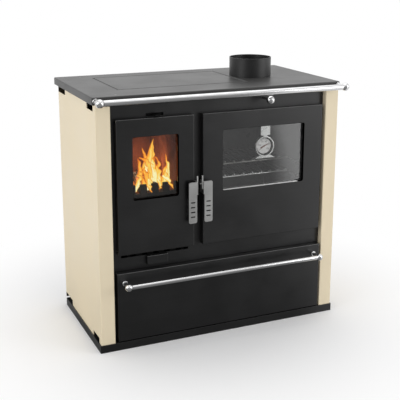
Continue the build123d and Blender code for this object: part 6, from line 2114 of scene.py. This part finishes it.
@dataclass
class Studio:
    """Camera, soft lamps, pale floor and surroundings.

    Attributes:
        camera_place: Where the camera is.
        yaw: Degrees that it is turned from the front to the right.
        pitch: Degrees that it looks down.
        roll: Degrees that it leans.
        lens: Focal length in millimetres.
        shift: Its lens shift.
        lamps: The lamps.
        world_light: Light that comes from all round.
        world_room: The room far round the stove.
        floor_room: The room as far as the floor shows it.
        floor_size: Half of the floor's side.
        floor_colour: Its colour.
        floor_roughness: Its roughness.
        floor_specular: Its specular level.
        floor_fade: Distances from its middle between which the floor fades to white.
        near_shade: Share of its level that the floor close to the stove has in reflections, a painted
            shadow of the stove there.
        near_span: Distances between which that share rises to the whole.
    """

    camera_place: Point = (-1.14588, -2.6595, 1.27765)
    yaw: float = 23.97
    pitch: float = 13.8
    roll: float = 0.19
    lens: float = 75.38
    shift: tuple[float, float] = (-0.0182, -0.1018)
    lamps: Sequence[Lamp] = (
        Lamp("left_lamp", (-3.0, -0.9, 1.7), (-0.4, 0.0, 0.4), 2.2, 29.0),
        Lamp("right_lamp", (2.3, -2.2, 1.4), (0.2, 0.0, 0.5), 1.6, 26.0),
        Lamp("top_lamp", (0.3, 0.4, 3.4), (0.0, 0.0, 0.8), 2.8, 26.0),
    )
    world_light: float = 0.56
    world_room: Room = Room(0.3, back=(-0.75, 0.15), side=(-0.05, 0.2))
    floor_room: Room = Room(0.3, back=(0.0, 0.8), side=(0.16, 0.36))
    floor_size: float = 24.0
    floor_colour: Colour = (0.97, 0.97, 0.975)
    floor_roughness: float = 0.85
    floor_specular: float = 0.2
    floor_fade: tuple[float, float] = (0.3, 1.1)
    near_shade: float = 0.62
    near_span: tuple[float, float] = (0.5, 1.4)

    def build(self) -> None:
        """Builds the camera, the world, the floor and the lamps."""
        self.make_camera()
        self.make_world()
        self.make_floor()
        for lamp in self.lamps:
            lamp.build()
        bpy.context.scene.view_settings.view_transform = "Standard"

    def make_camera(self) -> None:
        """Puts the camera where the photograph was taken from."""
        data = bpy.data.cameras.new("camera")
        data.lens = self.lens
        data.shift_x, data.shift_y = self.shift
        data.clip_end = 100.0
        camera = bpy.data.objects.new("camera", data)
        turn = Matrix.Rotation(math.radians(-self.yaw), 4, "Z")
        tilt = Matrix.Rotation(math.radians(90 - self.pitch), 4, "X")
        lean = Matrix.Rotation(math.radians(self.roll), 4, "Z")
        camera.matrix_world = Matrix.Translation(self.camera_place) @ turn @ tilt @ lean
        bpy.context.scene.collection.objects.link(camera)
        bpy.context.scene.camera = camera

    def make_world(self) -> None:
        """Lights evenly from all round, and looks white to the camera and a room in reflections."""
        world = bpy.data.worlds.new("surroundings")
        bpy.context.scene.world = world
        world.use_nodes = True
        w = Wiring(world.node_tree)
        background = world.node_tree.nodes["Background"]
        background.inputs["Color"].default_value = (1.0, 1.0, 1.0, 1.0)
        seen = w.math("MAXIMUM", w.looked_at(), w.reflected())
        level = self.world_room.level(w, w.add("TexCoord").outputs["Generated"])
        shown = w.math("MULTIPLY", level, seen)
        unseen = w.math("MULTIPLY", w.math("SUBTRACT", 1.0, seen), self.world_light)
        w.join(w.math("ADD", shown, unseen), background.inputs["Strength"])

    def make_floor(self) -> None:
        """Makes the pale floor, which fades to white away from the stove but keeps the shadow."""
        bm = bmesh.new()
        bmesh.ops.create_grid(bm, x_segments=1, y_segments=1, size=self.floor_size)
        mesh = bpy.data.meshes.new("floor")
        bm.to_mesh(mesh)
        bm.free()
        floor = bpy.data.objects.new("floor", mesh)
        bpy.context.scene.collection.objects.link(floor)
        mesh.materials.append(self.floor_material())

    def floor_material(self) -> bpy.types.Material:
        """Makes the floor's material: paint near the stove, and a glow of the room's own level.

        Returns:
            The material.
        """
        material = bpy.data.materials.new("pale_floor")
        material.use_nodes = True
        w = Wiring(material.node_tree)
        shader = material.node_tree.nodes["Principled BSDF"]
        shader.inputs["Base Color"].default_value = (*self.floor_colour, 1.0)
        shader.inputs["Roughness"].default_value = self.floor_roughness
        shader.inputs["Specular IOR Level"].default_value = self.floor_specular
        away = w.add("VectorMath", operation="LENGTH")
        w.join(w.object_place(), away.inputs[0])
        distance = away.outputs["Value"]
        # Painted shadow: in reflections the floor's glow dims close to the stove.
        near = w.math("MAXIMUM", w.ranged(distance, *self.near_span, self.near_shade, 1.0), w.looked_at())
        glow = w.add("Emission")
        level = self.floor_room.level(w, w.object_place())
        w.join(w.math("MULTIPLY", level, near), glow.inputs["Strength"])
        faded = w.math("MULTIPLY", w.ranged(distance, *self.floor_fade), w.looked_at())
        w.show_either(w.math("MAXIMUM", faded, w.reflected()), shader, glow)
        return material


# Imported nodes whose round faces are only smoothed.
SMOOTHED_NODES: Sequence[str] = (
    "flue_collar", "damper_rod", "door_hinge_lugs", "fire_door_pins", "oven_door_pins",
    "fire_latch_bolt", "oven_latch_bolt", "thermometer_case",
)
# Imported nodes whose edges are rounded, each with the rounding's width and whether the edges get a painted
# highlight.
EDGED_NODES: Sequence[tuple[str, float, bool]] = (
    ("base_plinth", 0.0014, True),
    ("fire_door_panel", 0.0012, True),
    ("oven_door_panel", 0.0012, True),
    ("drawer_front", 0.0012, True),
    ("primary_air_knob", 0.0010, True),
    ("fire_latch_handle", 0.0004, False),
    ("oven_latch_handle", 0.0004, False),
    ("log_guard", 0.0015, False),
    ("fire_grate", 0.0012, False),
)


def main() -> None:
    """Dresses the stove, adds the modelled pieces and sets the studio up."""
    logging.basicConfig(level=logging.INFO, format="%(name)s: %(message)s")
    Studio().build()
    dress_packed_nodes()
    for node in SMOOTHED_NODES:
        soften(node)
    for node, width, lit_edges in EDGED_NODES:
        soften(node, width, lit_edges=lit_edges)
    Rail(
        "towel_rail", ("towel_rail", "towel_rail_brackets"), "stove", y=-0.262, z=0.838,
        half_span=0.4339, radius=0.010, ball_radius=0.014, seat_y=-0.214,
    ).build()
    Rail(
        "drawer_rail", ("drawer_rail", "drawer_rail_brackets"), "drawer", y=-0.264, z=0.235,
        half_span=0.354, radius=0.008, ball_radius=0.0129, seat_y=-0.222,
    ).build()
    soften("damper_knob", sharp=60.0)
    OvenRack("lower_oven_rack").build()
    OvenRack("upper_oven_rack", SHADED_WIRE).build()
    Thermometer().build()
    WindowTrim("fire_window", "fire_door", left=-0.318, right=-0.1605, bottom=0.5085, top=0.716).build()
    WindowTrim(
        "oven_window", "oven_door", left=-0.004, right=0.305, bottom=0.5085, top=0.716, sill=True
    ).build()
    for node in ("fire_door_gasket", "oven_door_gasket"):
        RopeGasket(node).build()
    RearScrews().build()
    Fire().build()


if __name__ == "__main__":
    main()
